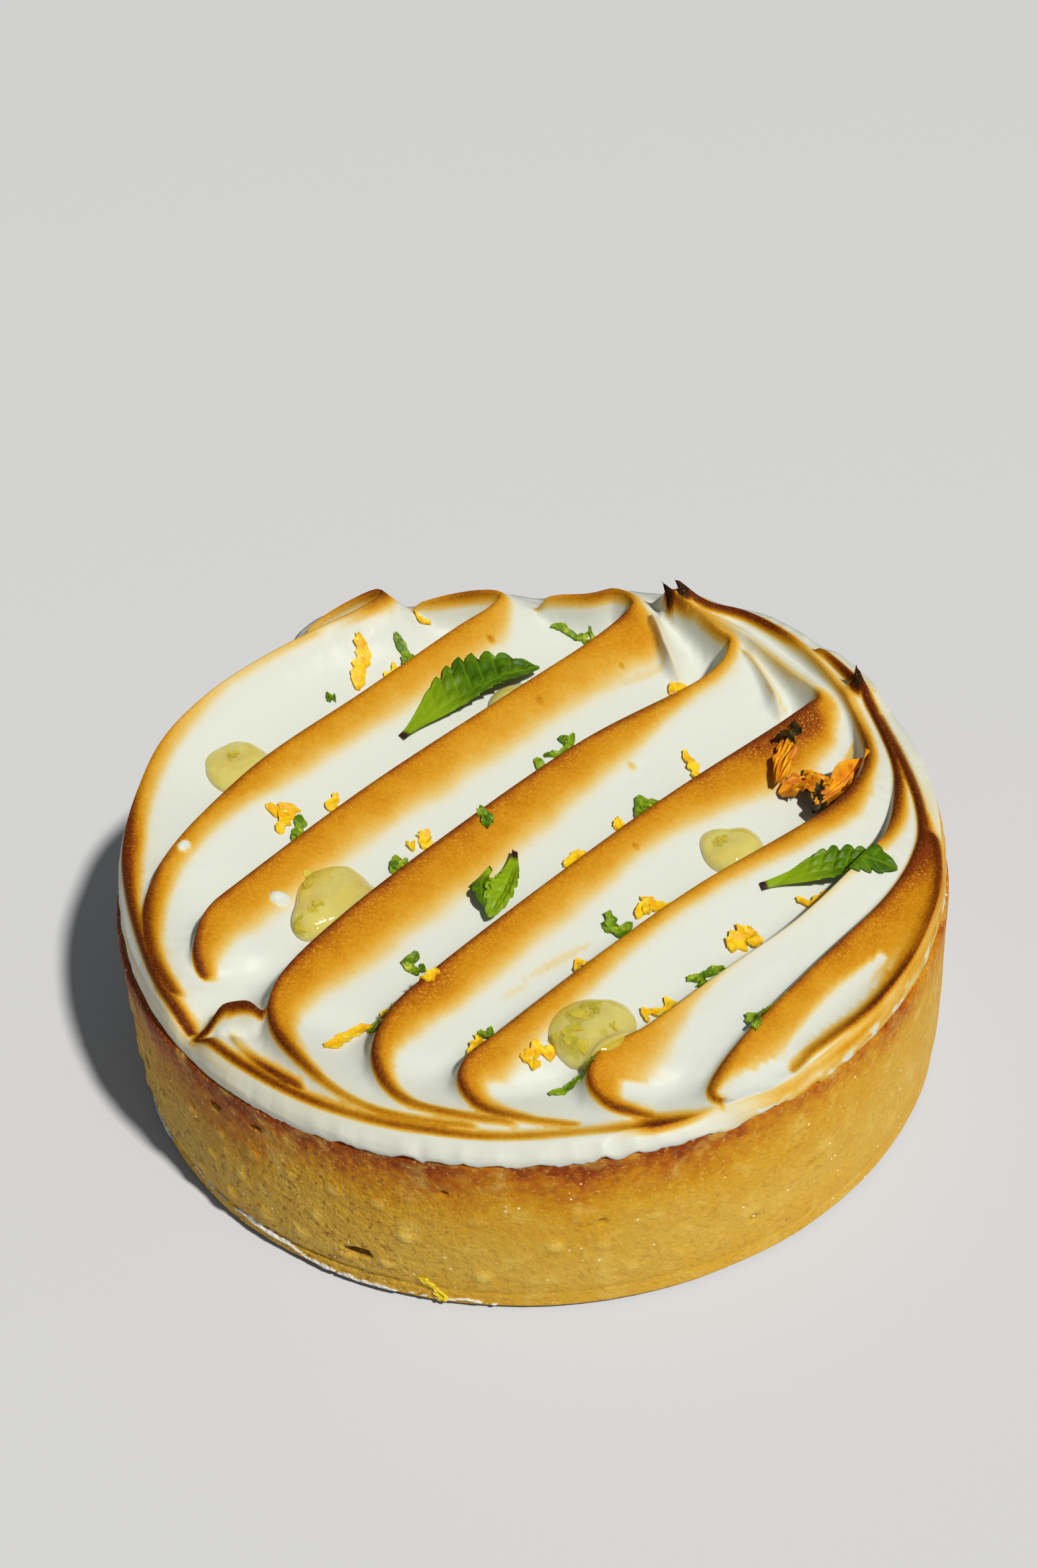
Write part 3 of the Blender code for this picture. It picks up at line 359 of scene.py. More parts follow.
class Stroke:
    """One ridge: its line on the plan, its height, its two faces and its browning."""

    def __init__(self, name):
        self.name = name
        self.line, along = spline(STROKES[name], LINE_STEP)
        self.gentle, self.steep = FACES.get(name, (GENTLE, STEEP))
        x, y, lift = self.line.T
        rise = dome_height(x, y) + lift - floor_height(x, y)
        begins_in_tip = name in ("fifth", "sixth")
        start = np.ones_like(along) if begins_in_tip else smoothstep(-0.6, END_TAPER, along)
        finish = smoothstep(-0.6, END_TAPER, along[-1] - along)
        self.rise = rise * start * finish
        self.tangent = np.gradient(self.line[:, :2], axis=0)
        self.tangent /= np.linalg.norm(self.tangent, axis=1)[:, None]
        share = along / along[-1]
        knots = np.array(TOAST[name])
        self.strength = np.interp(share, knots[:, 0], knots[:, 1])
        self.band = np.interp(share, knots[:, 0], knots[:, 2])
        self.along = along

    def measure(self, x, y):
        """Nearest place on the line, distance to it and which side, for many points."""
        near = np.empty(len(x), dtype=int)
        for begin in range(0, len(x), CHUNK):
            part = slice(begin, begin + CHUNK)
            dx, dy = x[part, None] - self.line[None, :, 0], y[part, None] - self.line[None, :, 1]
            near[part] = np.argmin(dx ** 2 + dy ** 2, axis=1)
        dx, dy = x - self.line[near, 0], y - self.line[near, 1]
        tx, ty = self.tangent[near].T
        side = tx * dy - ty * dx
        distance = np.hypot(dx, dy)
        inner = (near > 0) & (near < len(self.line) - 1)
        distance = np.where(inner, np.abs(side), distance)
        return near, distance, side

    def rise_at(self, near, distance, side):
        """Rise above the floor that this stroke gives to each place."""
        blend = smoothstep(-0.5, 0.5, side / np.maximum(distance, 1e-6))
        reach = self.steep + (self.gentle - self.steep) * blend
        return self.rise[near] * np.exp(-(distance / reach) ** FACE_CURVE)


strokes = [Stroke(name) for name in STROKES]
print("%.0f mm of ridge" % sum(stroke.along[-1] for stroke in strokes))

# %% [markdown]
# ## From lines to a surface
# A plain grid would make the ridges look like saw teeth. So the points of the mesh follow the ridges:
# one row on each line, rows that open out on both sides of it, and an even field between them. A
# Delaunay triangulation of the plan joins them and keeps the ridge lines as edges.

# %% Points that follow the ridges
FIELD_STEP = 0.52
SIDE_ROWS = (0.16, -0.16, 0.36, -0.36, 0.62, -0.62, -0.95, 1.0, -1.35, -1.8, -2.35)
EDGE_COUNT = 640
# Rings of points round a charred tip and in a bubble: how many, and the step between them
TIP_RINGS, TIP_STEP = 9, 0.16
BUBBLE_RINGS, BUBBLE_STEP = 7, 0.22
# Least distance between points: on the rim, on a ridge, round a tip, in a bubble and in the field
CLEAR_RIM, CLEAR_RIDGE, CLEAR_TIP, CLEAR_BUBBLE, CLEAR_FIELD = 0.0, 0.14, 0.09, 0.12, 0.42
# Charred points pulled up by the spatula: place of the foot, height, width, and the lean of the point
TIPS = {
    "tip_left": ((18.4, 31.9), 1.6, 0.55, (-1.3, 0.5)),
    "tip_right": ((20.2, 31.6), 1.9, 0.58, (-1.4, 0.6)),
    "horn": ((36.4, 15.2), 3.3, 0.62, (-0.1, 0.5)),
}


class PlanPoints:
    """Points on the plan that keep a clear distance from each other."""

    def __init__(self, cell):
        self.cell = cell
        self.places = []
        self.cells = {}

    def add(self, x, y, clear):
        column, row = int(x // self.cell), int(y // self.cell)
        for i in (column - 1, column, column + 1):
            for j in (row - 1, row, row + 1):
                for index in self.cells.get((i, j), ()):
                    px, py = self.places[index]
                    if (px - x) ** 2 + (py - y) ** 2 < clear * clear:
                        return None
        self.cells.setdefault((column, row), []).append(len(self.places))
        self.places.append((x, y))
        return len(self.places) - 1


def add_rings(plan, middle, rings, step, first_count, clear):
    """A patch of close points: a middle and rings round it."""
    for ring in range(rings):
        around = max(1, first_count * ring)
        for k in range(around):
            angle = 2 * math.pi * k / around
            reach = step * ring
            plan.add(middle[0] + reach * math.cos(angle), middle[1] + reach * math.sin(angle), clear)


def plan_of_the_top():
    """Points of the plan, and the edges that the triangles have to keep: the rim and the ridges."""
    plan = PlanPoints(0.5)
    edges = []
    for k in range(EDGE_COUNT):
        angle = 2 * math.pi * k / EDGE_COUNT
        plan.add(TOP_RADIUS * math.cos(angle), TOP_RADIUS * math.sin(angle), CLEAR_RIM)
        edges.append((k, (k + 1) % EDGE_COUNT))
    for stroke in strokes:
        previous = None
        for place in stroke.line[:, :2]:
            index = None
            if math.hypot(*place) < TOP_RADIUS - 0.12:
                index = plan.add(place[0], place[1], CLEAR_RIDGE)
            if index is not None and previous is not None:
                edges.append((previous, index))
            previous = index
    for foot, *_ in TIPS.values():
        add_rings(plan, foot, TIP_RINGS, TIP_STEP, 8, CLEAR_TIP)
    for middle, *_ in BUBBLES:
        add_rings(plan, middle, BUBBLE_RINGS, BUBBLE_STEP, 7, CLEAR_BUBBLE)
    for offset in SIDE_ROWS:
        for stroke in strokes:
            normal = np.column_stack([-stroke.tangent[:, 1], stroke.tangent[:, 0]])
            for place in stroke.line[:, :2] + offset * normal:
                if math.hypot(*place) < TOP_RADIUS - 0.15:
                    plan.add(place[0], place[1], CLEAR_RIDGE + 0.12 * min(1.0, abs(offset)))
    across = int(2 * TOP_RADIUS / FIELD_STEP)
    for i in range(-across, across + 1):
        for j in range(-across, across + 1):
            x, y = (i + 0.5 * (j % 2)) * FIELD_STEP, j * FIELD_STEP * math.sqrt(0.75)
            if math.hypot(x, y) < TOP_RADIUS - 0.25:
                plan.add(x, y, CLEAR_FIELD)
    return plan.places, edges


def triangulate_top():
    places, edges = plan_of_the_top()
    plan, _, faces, _, _, _ = delaunay_2d_cdt([Vector(p) for p in places], edges, [], 0, 1e-5)
    return np.array([(p.x, p.y) for p in plan]), np.array(faces, dtype=int)


plan, faces = triangulate_top()
print(len(plan), "points and", len(faces), "triangles on the top")

# %% [markdown]
# ## Height, browning and lean
# Each point gets its height from the ridges, and two masks for the finish: how brown the flame left it
# and how close it is to charring. The masks are stored on the mesh, so the colour follows the real
# relief. The lips of the ridges also lean a little over their steep face, as soft meringue does.

# %% Height field of the meringue
LEAN = 0.55
UNDULATION = 0.16
RIPPLE = 0.03
DIAGONAL = 0.7071
HOLLOW_ROUNDS = 6
RIM_ROUNDS = 5
# The brown of a gentle face: its plateau and how wide that is, then the extra at the crest and its width
PLATEAU, PLATEAU_WIDTH = 0.68, 0.70
CREST, CREST_WIDTH = 0.32, 0.6
# Where the flame was held longest: strength and width of the scorch
SCORCH, SCORCH_WIDTH = 1.2, 1.9


def waves(x, y, size, seed):
    """Smooth noise over the plan, from -1 to 1."""
    place = Vector((0.0, 0.0, seed))
    values = np.empty(len(x))
    for k, (px, py) in enumerate(zip(x / size, y / size)):
        place.x, place.y = px, py
        values[k] = noise.noise(place)
    return values


def surface_of_strokes(x, y):
    """Height, browning, charring and sideways lean at each place of the plan."""
    total = np.zeros_like(x)
    parts = []
    for stroke in strokes:
        near, distance, side = stroke.measure(x, y)
        rise = np.maximum(stroke.rise_at(near, distance, side), 0.0)
        parts.append((stroke, near, distance, side, rise))
        total += rise ** BLEND
    total = total ** (1.0 / BLEND)
    uneven = 1.0 + 0.08 * waves(x, y, 5.0, 3.1) + 0.03 * waves(x, y, 1.3, 9.4)
    toast, char = np.zeros_like(x), np.zeros_like(x)
    lean = np.zeros((len(x), 2))
    nearest_ridge = np.full_like(x, 99.0)
    for stroke, near, distance, side, rise in parts:
        own = smoothstep(0.30, 0.80, rise / np.maximum(total, 0.05))
        band = stroke.band[near] * uneven
        strength = stroke.strength[near]
        share = distance / np.maximum(PLATEAU_WIDTH * band, 0.2)
        plateau = PLATEAU * (1.0 - 0.25 * share) * smoothstep(1.32, 0.42, share)
        scorched = SCORCH * np.maximum(strength - 1.0, 0.0) * np.exp(-(distance / SCORCH_WIDTH) ** 2)
        gentle = plateau + CREST * np.exp(-distance / CREST_WIDTH) + scorched
        steep = smoothstep(0.75, 0.10, distance)
        amount = strength * np.where(side > 0, gentle, steep) * own
        toast = np.maximum(toast, amount)
        heavy = strength * smoothstep(5.0, 2.0, stroke.band[near])
        width = np.where(side > 0, 0.50 + 0.20 * heavy, 0.40 + 0.06 * heavy)
        burnt = np.clip(strength * (0.85 + 0.30 * heavy) - 0.10, 0, 1.1)
        char = np.maximum(char, burnt * np.exp(-(distance / width) ** 2.2) * own)
        tx, ty = stroke.tangent[near].T
        push = LEAN * np.exp(-(distance / 1.5) ** 2) * own * np.clip(rise / 5.0, 0.0, 1.0)
        lean += np.column_stack([ty * push, -tx * push])
        worth = stroke.rise[near] > 1.0
        nearest_ridge = np.where(worth, np.minimum(nearest_ridge, distance), nearest_ridge)
    return floor_height(x, y) + total, np.minimum(toast, 1.0), char, lean, nearest_ridge


def smooth_hollows(z, faces, nearest_ridge, rounds):
    """Evens out the creases between strokes and leaves the ridges sharp."""
    ends = np.vstack([faces[:, [0, 1]], faces[:, [1, 2]], faces[:, [2, 0]]])
    share = 0.6 * smoothstep(0.9, 2.2, nearest_ridge)
    count = np.zeros_like(z)
    np.add.at(count, ends[:, 0], 1)
    np.add.at(count, ends[:, 1], 1)
    for _ in range(rounds):
        mean = np.zeros_like(z)
        np.add.at(mean, ends[:, 0], z[ends[:, 1]])
        np.add.at(mean, ends[:, 1], z[ends[:, 0]])
        z = z + share * (mean / count - z)
    return z


def streak_mask(x, y, start, end, half):
    """1 along the line from start to end, fading to 0 at its half width and past its ends."""
    start, end = np.array(start), np.array(end)
    run = end - start
    share = np.clip(((x - start[0]) * run[0] + (y - start[1]) * run[1]) / run.dot(run), 0.0, 1.0)
    distance = np.hypot(x - start[0] - share * run[0], y - start[1] - share * run[1])
    taper = 0.35 + 0.65 * np.sin(math.pi * np.clip(share, 0.05, 0.95))
    return smoothstep(1.0, 0.3, distance / (half * taper))


def mark_skin(x, y, z, toast, nearest_ridge):
    """White streaks, scorch marks and bubbles, each where the real skin has it."""
    for start, end, half, share, clear in BARE_STREAKS:
        clear_of_ridge = smoothstep(0.28 * clear, clear, nearest_ridge)
        toast = toast * (1.0 - share * streak_mask(x, y, start, end, half) * clear_of_ridge)
    for start, end, half, strength in SCORCH_MARKS:
        toast = np.maximum(toast, strength * streak_mask(x, y, start, end, half))
    for (middle_x, middle_y), along, across, turn, rise, brown in BUBBLES:
        c, s = math.cos(math.radians(turn)), math.sin(math.radians(turn))
        u, v = c * (x - middle_x) + s * (y - middle_y), c * (y - middle_y) - s * (x - middle_x)
        reach = np.hypot(u / along, v / across)
        z = z + rise * np.clip(1.0 - reach ** 2, 0.0, 1.0) ** 0.6
        toast = np.clip(toast + brown * smoothstep(1.2, 0.6, reach), 0.0, 1.0)
    return z, toast


# The tips are charred past what the ridges reach, so that they come out black
CHAR_OF_TIPS = 1.3


def pull_up_tips(x, y, z, toast, char, lean):
    """Three charred points, raised out of the same skin."""
    for (foot_x, foot_y), height, width, (lean_x, lean_y) in TIPS.values():
        distance = np.hypot(x - foot_x, y - foot_y)
        peak = np.exp(-(distance / width) ** 1.1)
        z = z + height * peak
        lean[:, 0] += lean_x * peak ** 1.4
        lean[:, 1] += lean_y * peak ** 1.4
        toast = np.maximum(toast, smoothstep(0.05, 0.4, peak))
        char = np.maximum(char, smoothstep(0.08, 0.42, peak) * CHAR_OF_TIPS)
    return z, toast, char, lean


def meringue_top():
    """Places of the skin's points, with their browning and charring."""
    x, y = plan.T
    z, toast, char, lean, nearest_ridge = surface_of_strokes(x, y)
    z = z + UNDULATION * waves(x, y, 6.0, 1.7) * smoothstep(0.2, 2.0, nearest_ridge)
    along, across = (x + y) * DIAGONAL, (y - x) * DIAGONAL
    z = z + RIPPLE * waves(along * 0.18, across, 1.3, 5.2) * smoothstep(0.3, 1.5, nearest_ridge)
    z = smooth_hollows(z, faces, nearest_ridge, HOLLOW_ROUNDS)
    z, toast = mark_skin(x, y, z, toast, nearest_ridge)
    z, toast, char, lean = pull_up_tips(x, y, z, toast, char, lean)
    rim = z[:EDGE_COUNT]
    for _ in range(RIM_ROUNDS):
        rim = (np.roll(rim, 1) + 2.0 * rim + np.roll(rim, -1)) / 4.0
    z[:EDGE_COUNT] = rim
    top = np.column_stack([x + lean[:, 0], y + lean[:, 1], z])
    return top, toast, char


top, toast, char = meringue_top()
print("meringue from %.1f to %.1f mm" % (top[:, 2].min(), top[:, 2].max()))

# %% [markdown]
# ## The side of the meringue
# Round the rim the meringue turns down onto the case. At the front it bulges out over the pastry with a
# ragged white edge, on the left it stands back and leaves the crust's edge bare, and on the right the
# flame caught its layers. The rim of the top is carried down in rows, with the bulge and the ragged edge
# as functions of the angle.

# %% Side rows and the whole skin
SIDE_COUNT = 12
FOOT_RADIUS = 42.15
# How far the rim's foot goes under the meringue
TUCK = 1.6


def round_noise(angle, size, level):
    """Noise that closes on itself round the tart; size is its count of lumps per radius."""
    return noise.noise(Vector((math.cos(angle) * size, math.sin(angle) * size, level)))


def rim_values(angle):
    """Foot radius, foot height, bulge and browning of the side at an angle round the tart."""
    front = smoothstep(0.35, 0.9, -math.sin(angle + 0.10))
    left = smoothstep(0.45, 0.95, -math.cos(angle - 0.15))
    right = smoothstep(0.45, 0.78, math.cos(angle + 0.20))
    ragged, fine = round_noise(angle, 22.0, 4.0), round_noise(angle, 70.0, 8.0)
    broad = round_noise(angle, 5.0, 2.0)
    radius = FOOT_RADIUS + 0.42 * front - 0.35 * left + 0.10 * broad + 0.16 * ragged + 0.08 * fine
    height = CASE_HEIGHT - 0.05 - 0.35 * front + 0.62 * ragged * (0.3 + front) + 0.36 * fine
    bulge = 0.10 + 0.22 * front + 0.18 * broad
    brown = 0.04 + 0.62 * right + 0.16 * left
    return radius, height, bulge, brown


def add_side(points, toast, char, triangles):
    """Rows of points from the top's rim down to its foot and in under it."""
    points, toast, char = list(points), list(toast), list(char)
    triangles = [tuple(face) for face in triangles]
    above = list(range(EDGE_COUNT))
    rim = [tuple(points[k]) for k in above]
    for row in range(1, SIDE_COUNT + 2):
        here = []
        for k in range(EDGE_COUNT):
            angle = 2 * math.pi * k / EDGE_COUNT
            radius, height, bulge, brown = rim_values(angle)
            x, y, z = rim[k]
            t = min(1.0, row / SIDE_COUNT)
            start = math.hypot(x, y)
            ease = 1.0 - (1.0 - t) ** 1.7
            streak = round_noise(angle, 9.0, t * 5.0)
            reach = start + (radius - start) * ease + bulge * math.sin(math.pi * t) + 0.07 * streak
            level = z + (height - z) * t
            if row > SIDE_COUNT:
                reach, level = RING_RADIUS - TUCK, CASE_HEIGHT + 0.02
            here.append(len(points))
            points.append((reach * x / start, reach * y / start, level))
            flaw = round_noise(angle, 30.0, t * 4.0 + 20.0)
            bare = smoothstep(0.12, 0.40, flaw) * smoothstep(0.35, 0.75, t)
            layered = brown * (0.62 + 0.38 * streak) * (1.0 - 0.9 * bare)
            near_rim = 0.85 * toast[k] * (1.0 - smoothstep(0.0, 0.35, t))
            toast.append(max(layered, near_rim) if row <= SIDE_COUNT else 0.0)
            char.append(0.25 * char[above[k]] if row == 1 else 0.0)
        for k in range(EDGE_COUNT):
            after = (k + 1) % EDGE_COUNT
            triangles.append((above[k], here[k], here[after]))
            triangles.append((above[k], here[after], above[after]))
        above = here
    centre = len(points)
    points.append((0.0, 0.0, CASE_HEIGHT + 0.02))
    toast.append(0.0)
    char.append(0.0)
    for k in range(EDGE_COUNT):
        triangles.append((above[k], centre, above[(k + 1) % EDGE_COUNT]))
    return np.array(points), np.array(toast), np.array(char), triangles


def mesh_piece(name, points, triangles, masks=None, smooth_angle=60.0):
    """An object in the frame from points in millimetres, with named masks on its points."""
    mesh = bpy.data.meshes.new(name)
    mesh.from_pydata((np.asarray(points) * MM).tolist(), [], [tuple(map(int, t)) for t in triangles])
    for mask, values in (masks or {}).items():
        layer = mesh.attributes.new(mask, "FLOAT", "POINT")
        layer.data.foreach_set("value", np.asarray(values, dtype=np.float32))
    mesh.validate()
    mesh.shade_smooth()
    if smooth_angle is not None:
        mesh.set_sharp_from_angle(angle=math.radians(smooth_angle))
    piece = bpy.data.objects.new(name, mesh)
    bpy.context.scene.collection.objects.link(piece)
    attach(piece, "root")
    return piece


skin_points, skin_toast, skin_char, skin_faces = add_side(top, toast, char, faces)
skin_masks = {"toast": skin_toast, "char": skin_char}
meringue = mesh_piece("spread_meringue", skin_points, skin_faces, skin_masks, None)
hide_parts("meringue")
print("meringue mesh of", len(meringue.data.polygons), "triangles")

# %% [markdown]
# ## How a finish is built
# Each finish is a Principled shader fed by a few nodes: noise for variety, ramps for colour and a bump
# for what is too fine to model. These helpers keep the trees short to write and read: one makes a node,
# one fills a socket with a value or a link, and the others wrap the nodes used most.

# %% Node helpers
def add_node(tree, kind, **settings):
    """A node with its settings."""
    made = tree.nodes.new(kind)
    for key, value in settings.items():
        setattr(made, key, value)
    return made


def put(tree, socket, value):
    """Gives a socket a number, a colour or a link."""
    if isinstance(value, bpy.types.NodeSocket):
        tree.links.new(value, socket)
    elif isinstance(value, tuple) and socket.type == "RGBA":
        socket.default_value = (*value, 1.0)
    else:
        socket.default_value = value


def math_node(tree, operation, *values):
    made = add_node(tree, "ShaderNodeMath", operation=operation)
    for socket, value in zip(made.inputs, values):
        put(tree, socket, value)
    return made.outputs[0]


def smooth_range(tree, value, low, high, least=0.0, most=1.0):
    """The value carried from low..high to least..most with soft ends."""
    made = add_node(tree, "ShaderNodeMapRange", interpolation_type="SMOOTHSTEP")
    for title, number in (("Value", value), ("From Min", low), ("From Max", high), ("To Min", least),
                          ("To Max", most)):
        put(tree, made.inputs[title], number)
    return made.outputs["Result"]


def mix_colour(tree, factor, first, second, blend="MIX"):
    made = add_node(tree, "ShaderNodeMix", data_type="RGBA", blend_type=blend)
    sockets = [socket for socket in made.inputs if socket.enabled]
    for socket, value in zip(sockets, (factor, first, second)):
        put(tree, socket, value)
    return [socket for socket in made.outputs if socket.enabled][0]


def ramp(tree, factor, stops):
    """A colour ramp from (position, colour) stops."""
    made = add_node(tree, "ShaderNodeValToRGB")
    elements = made.color_ramp.elements
    while len(elements) < len(stops):
        elements.new(0.5)
    for element, (position, colour) in zip(elements, stops):
        element.position = position
        element.color = (*colour, 1.0)
    put(tree, made.inputs["Fac"], factor)
    return made.outputs["Color"]


def mask_from_mesh(tree, name):
    return add_node(tree, "ShaderNodeAttribute", attribute_name=name).outputs["Fac"]


# %% [markdown]
# ## Effects that several finishes share
# Three effects come back on almost every food here: a skin that is rough at some scale, a colour that
# changes in patches, and tiny wet glints. Each is a node group with named sockets, built once, so that
# a finish only says how large and how strong it wants the effect.

# %% Shared node groups
def new_group(name, inputs, outputs):
    """A node group with its sockets, given as (title, kind, value) and (title, kind)."""
    group = bpy.data.node_groups.new(name, "ShaderNodeTree")
    for title, kind, value in inputs:
        socket = group.interface.new_socket(title, in_out="INPUT", socket_type="NodeSocket" + kind)
        if value is not None:
            socket.default_value = value
    for title, kind in outputs:
        group.interface.new_socket(title, in_out="OUTPUT", socket_type="NodeSocket" + kind)
    return group, add_node(group, "NodeGroupInput").outputs, add_node(group, "NodeGroupOutput").inputs


def food_noise(tree, scale, detail, roughness=0.55):
    """Noise fixed to the piece, scale in patches per metre."""
    made = add_node(tree, "ShaderNodeTexNoise")
    put(tree, made.inputs["Vector"], add_node(tree, "ShaderNodeTexCoord").outputs["Object"])
    put(tree, made.inputs["Scale"], scale)
    put(tree, made.inputs["Detail"], detail)
    put(tree, made.inputs["Roughness"], roughness)
    return made.outputs["Fac"]


def build_rough_skin():
    inputs = [("Scale", "Float", 1000.0), ("Strength", "Float", 0.3), ("Depth", "Float", 0.0001),
              ("Normal", "Vector", None)]
    group, inside, out = new_group("rough_skin", inputs, [("Normal", "Vector")])
    height = food_noise(group, inside["Scale"], 3.0, 0.6)
    bump = add_node(group, "ShaderNodeBump")
    for title, value in (("Strength", inside["Strength"]), ("Distance", inside["Depth"]),
                         ("Height", height), ("Normal", inside["Normal"])):
        put(group, bump.inputs[title], value)
    put(group, out["Normal"], bump.outputs["Normal"])
    return group


def build_patches():
    inputs = [("Scale", "Float", 300.0), ("Low", "Float", 0.4), ("High", "Float", 0.6),
              ("First", "Color", None), ("Second", "Color", None)]
    group, inside, out = new_group("colour_patches", inputs, [("Colour", "Color")])
    mask = smooth_range(group, food_noise(group, inside["Scale"], 3.0), inside["Low"], inside["High"])
    put(group, out["Colour"], mix_colour(group, mask, inside["First"], inside["Second"]))
    return group


def build_glints():
    inputs = [("Scale", "Float", 1500.0), ("Size", "Float", 0.2)]
    group, inside, out = new_group("wet_glints", inputs, [("Mask", "Float")])
    spots = add_node(group, "ShaderNodeTexVoronoi")
    put(group, spots.inputs["Vector"], add_node(group, "ShaderNodeTexCoord").outputs["Object"])
    put(group, spots.inputs["Scale"], inside["Scale"])
    edge = math_node(group, "MULTIPLY", inside["Size"], 0.6)
    put(group, out["Mask"], smooth_range(group, spots.outputs["Distance"], inside["Size"], edge))
    return group


ROUGH_SKIN, COLOUR_PATCHES, WET_GLINTS = build_rough_skin(), build_patches(), build_glints()
print(len(bpy.data.node_groups), "node groups")


def use_group(tree, group, **values):
    made = add_node(tree, "ShaderNodeGroup", node_tree=group)
    for title, value in values.items():
        put(tree, made.inputs[title], value)
    return made.outputs


def rough_skin(tree, layers):
    """Bumps laid over each other, from (scale, strength, depth) layers."""
    normal = add_node(tree, "ShaderNodeNewGeometry").outputs["Normal"]
    for scale, strength, depth in layers:
        normal = use_group(tree, ROUGH_SKIN, Scale=scale, Strength=strength, Depth=depth,
                           Normal=normal)["Normal"]
    return normal


def let_light_in(shader, weight, radius, scale):
    """Light that enters the food and comes out near by."""
    shader.inputs["Subsurface Weight"].default_value = weight
    shader.inputs["Subsurface Radius"].default_value = radius
    shader.inputs["Subsurface Scale"].default_value = scale


# %% [markdown]
# ## Toasted meringue
# Raw meringue is a soft white, a little see-through. The flame turns the ridges from cream through honey
# to dark brown, and there the skin is rough with burst bubbles, lighter than what is round them. One
# ramp turns the browning mask into these colours, and small cells break it up.

# %% Finish of the meringue
def toasted_meringue():
    material, tree, shader = start_finish("toasted_meringue", (0.80, 0.82, 0.72), 0.4)
    brown = mask_from_mesh(tree, "toast")
    charred = mask_from_mesh(tree, "char")
    patch = smooth_range(tree, food_noise(tree, 260.0, 3.0), 0.2, 0.8, 0.90, 1.10)
    fine = smooth_range(tree, food_noise(tree, 2600.0, 2.0), 0.2, 0.8, 0.92, 1.08)
    amount = math_node(tree, "MULTIPLY", brown, math_node(tree, "MULTIPLY", patch, fine))
    bubble = use_group(tree, WET_GLINTS, Scale=2100.0, Size=0.34)["Mask"]
    bubbled = math_node(tree, "MULTIPLY", bubble, smooth_range(tree, amount, 0.50, 0.80))
    # Painted sparkle: tiny pale specks on the brown stand in for highlights.
    speck = use_group(tree, WET_GLINTS, Scale=4300.0, Size=0.36)["Mask"]
    painted_sparkle = math_node(tree, "MULTIPLY", speck, smooth_range(tree, amount, 0.32, 0.70, 0.0, 0.38))
    colour = ramp(tree, amount, [(0.0, (0.66, 0.685, 0.61)), (0.09, (0.68, 0.655, 0.51)),
                                 (0.17, (0.68, 0.585, 0.33)), (0.25, (0.68, 0.50, 0.18)),
                                 (0.34, (0.67, 0.425, 0.09)), (0.45, (0.64, 0.335, 0.030)),
                                 (0.57, (0.57, 0.250, 0.006)), (0.68, (0.49, 0.185, 0.002)),
                                 (0.82, (0.36, 0.100, 0.001)), (1.0, (0.19, 0.032, 0.001))])
    dark = smooth_range(tree, math_node(tree, "MULTIPLY", charred, fine), 0.20, 1.22)
    colour = mix_colour(tree, dark, colour, (0.090, 0.013, 0.001))
    black = smooth_range(tree, charred, 1.12, 1.28, 0.0, 0.9)
    colour = mix_colour(tree, black, colour, (0.016, 0.007, 0.003))
    spared = smooth_range(tree, charred, 0.15, 0.5, 0.36, 0.05)
    colour = mix_colour(tree, math_node(tree, "MULTIPLY", bubbled, spared), colour, (0.78, 0.40, 0.04))
    unburnt = smooth_range(tree, charred, 0.15, 0.7, 1.0, 0.25)
    colour = mix_colour(tree, math_node(tree, "MULTIPLY", painted_sparkle, unburnt), colour, (0.80, 0.42, 0.04))
    put(tree, shader.inputs["Base Color"], colour)
    put(tree, shader.inputs["Roughness"], smooth_range(tree, amount, 0.0, 0.5, 0.34, 0.65))
    shader.inputs["Specular IOR Level"].default_value = 0.08
    rise = rough_skin(tree, [(500.0, 0.12, 0.0004)])
    rougher = smooth_range(tree, amount, 0.1, 0.8, 0.05, 0.6)
    crackle = use_group(tree, ROUGH_SKIN, Scale=3000.0, Strength=rougher, Depth=0.00012, Normal=rise)
    put(tree, shader.inputs["Normal"], crackle["Normal"])
    let_light_in(shader, 0.08, (1.0, 0.6, 0.4), 0.0008)
    return material


meringue.data.materials.append(toasted_meringue())
print("toasted meringue of", len(meringue.active_material.node_tree.nodes), "nodes")

# %% [markdown]
# ## The pastry case
# The dough was baked in a perforated ring, so its side carries rows of small raised dots, softer where
# the dough sat loosely. It also has a few pits, a crease just above its foot, a crumbly stretch on the
# left and a rim that is darker, partly from baking and partly as painted shade under the meringue. A
# lathe would give a perfect side, so the side is a grid of angle and height whose radius is a sum of
# these features. A little meringue ran down and dried as a white smear.

# %% Shape of the case
DOT_COLUMNS = 58
DOT_ROWS = ((4.6, 0.9), (8.6, 1.0), (12.6, 0.8), (16.6, 0.35))
DOT_RADIUS = 1.0
DOT_PROUD = 0.32
CREASE_LEVEL, CREASE_DEPTH, CREASE_WIDTH = 2.3, 0.10, 0.20
SMEAR_PROUD = 0.22
CASE_COLUMNS = 960
CASE_FOOT_RADIUS = 42.15
# Pits in the side: angle in degrees, height, half width, half height, depth
PITS = [
    (-115.6, 5.2, 1.4, 0.7, 0.9), (-136.5, 16.3, 0.8, 0.5, 0.7), (-129.0, 16.8, 0.7, 0.4, 0.6),
    (-103.0, 15.6, 0.5, 0.4, 0.4), (-64.0, 6.3, 0.6, 0.5, 0.4), (-84.0, 11.6, 0.5, 0.4, 0.35),
    (-55.0, 9.2, 0.5, 0.4, 0.3), (-37.0, 12.6, 0.4, 0.3, 0.4), (40.0, 9.0, 1.2, 0.6, 0.7),
    (95.0, 13.0, 0.9, 0.6, 0.6), (150.0, 7.5, 1.0, 0.7, 0.8), (-158.0, 10.0, 0.8, 0.6, 0.6),
]
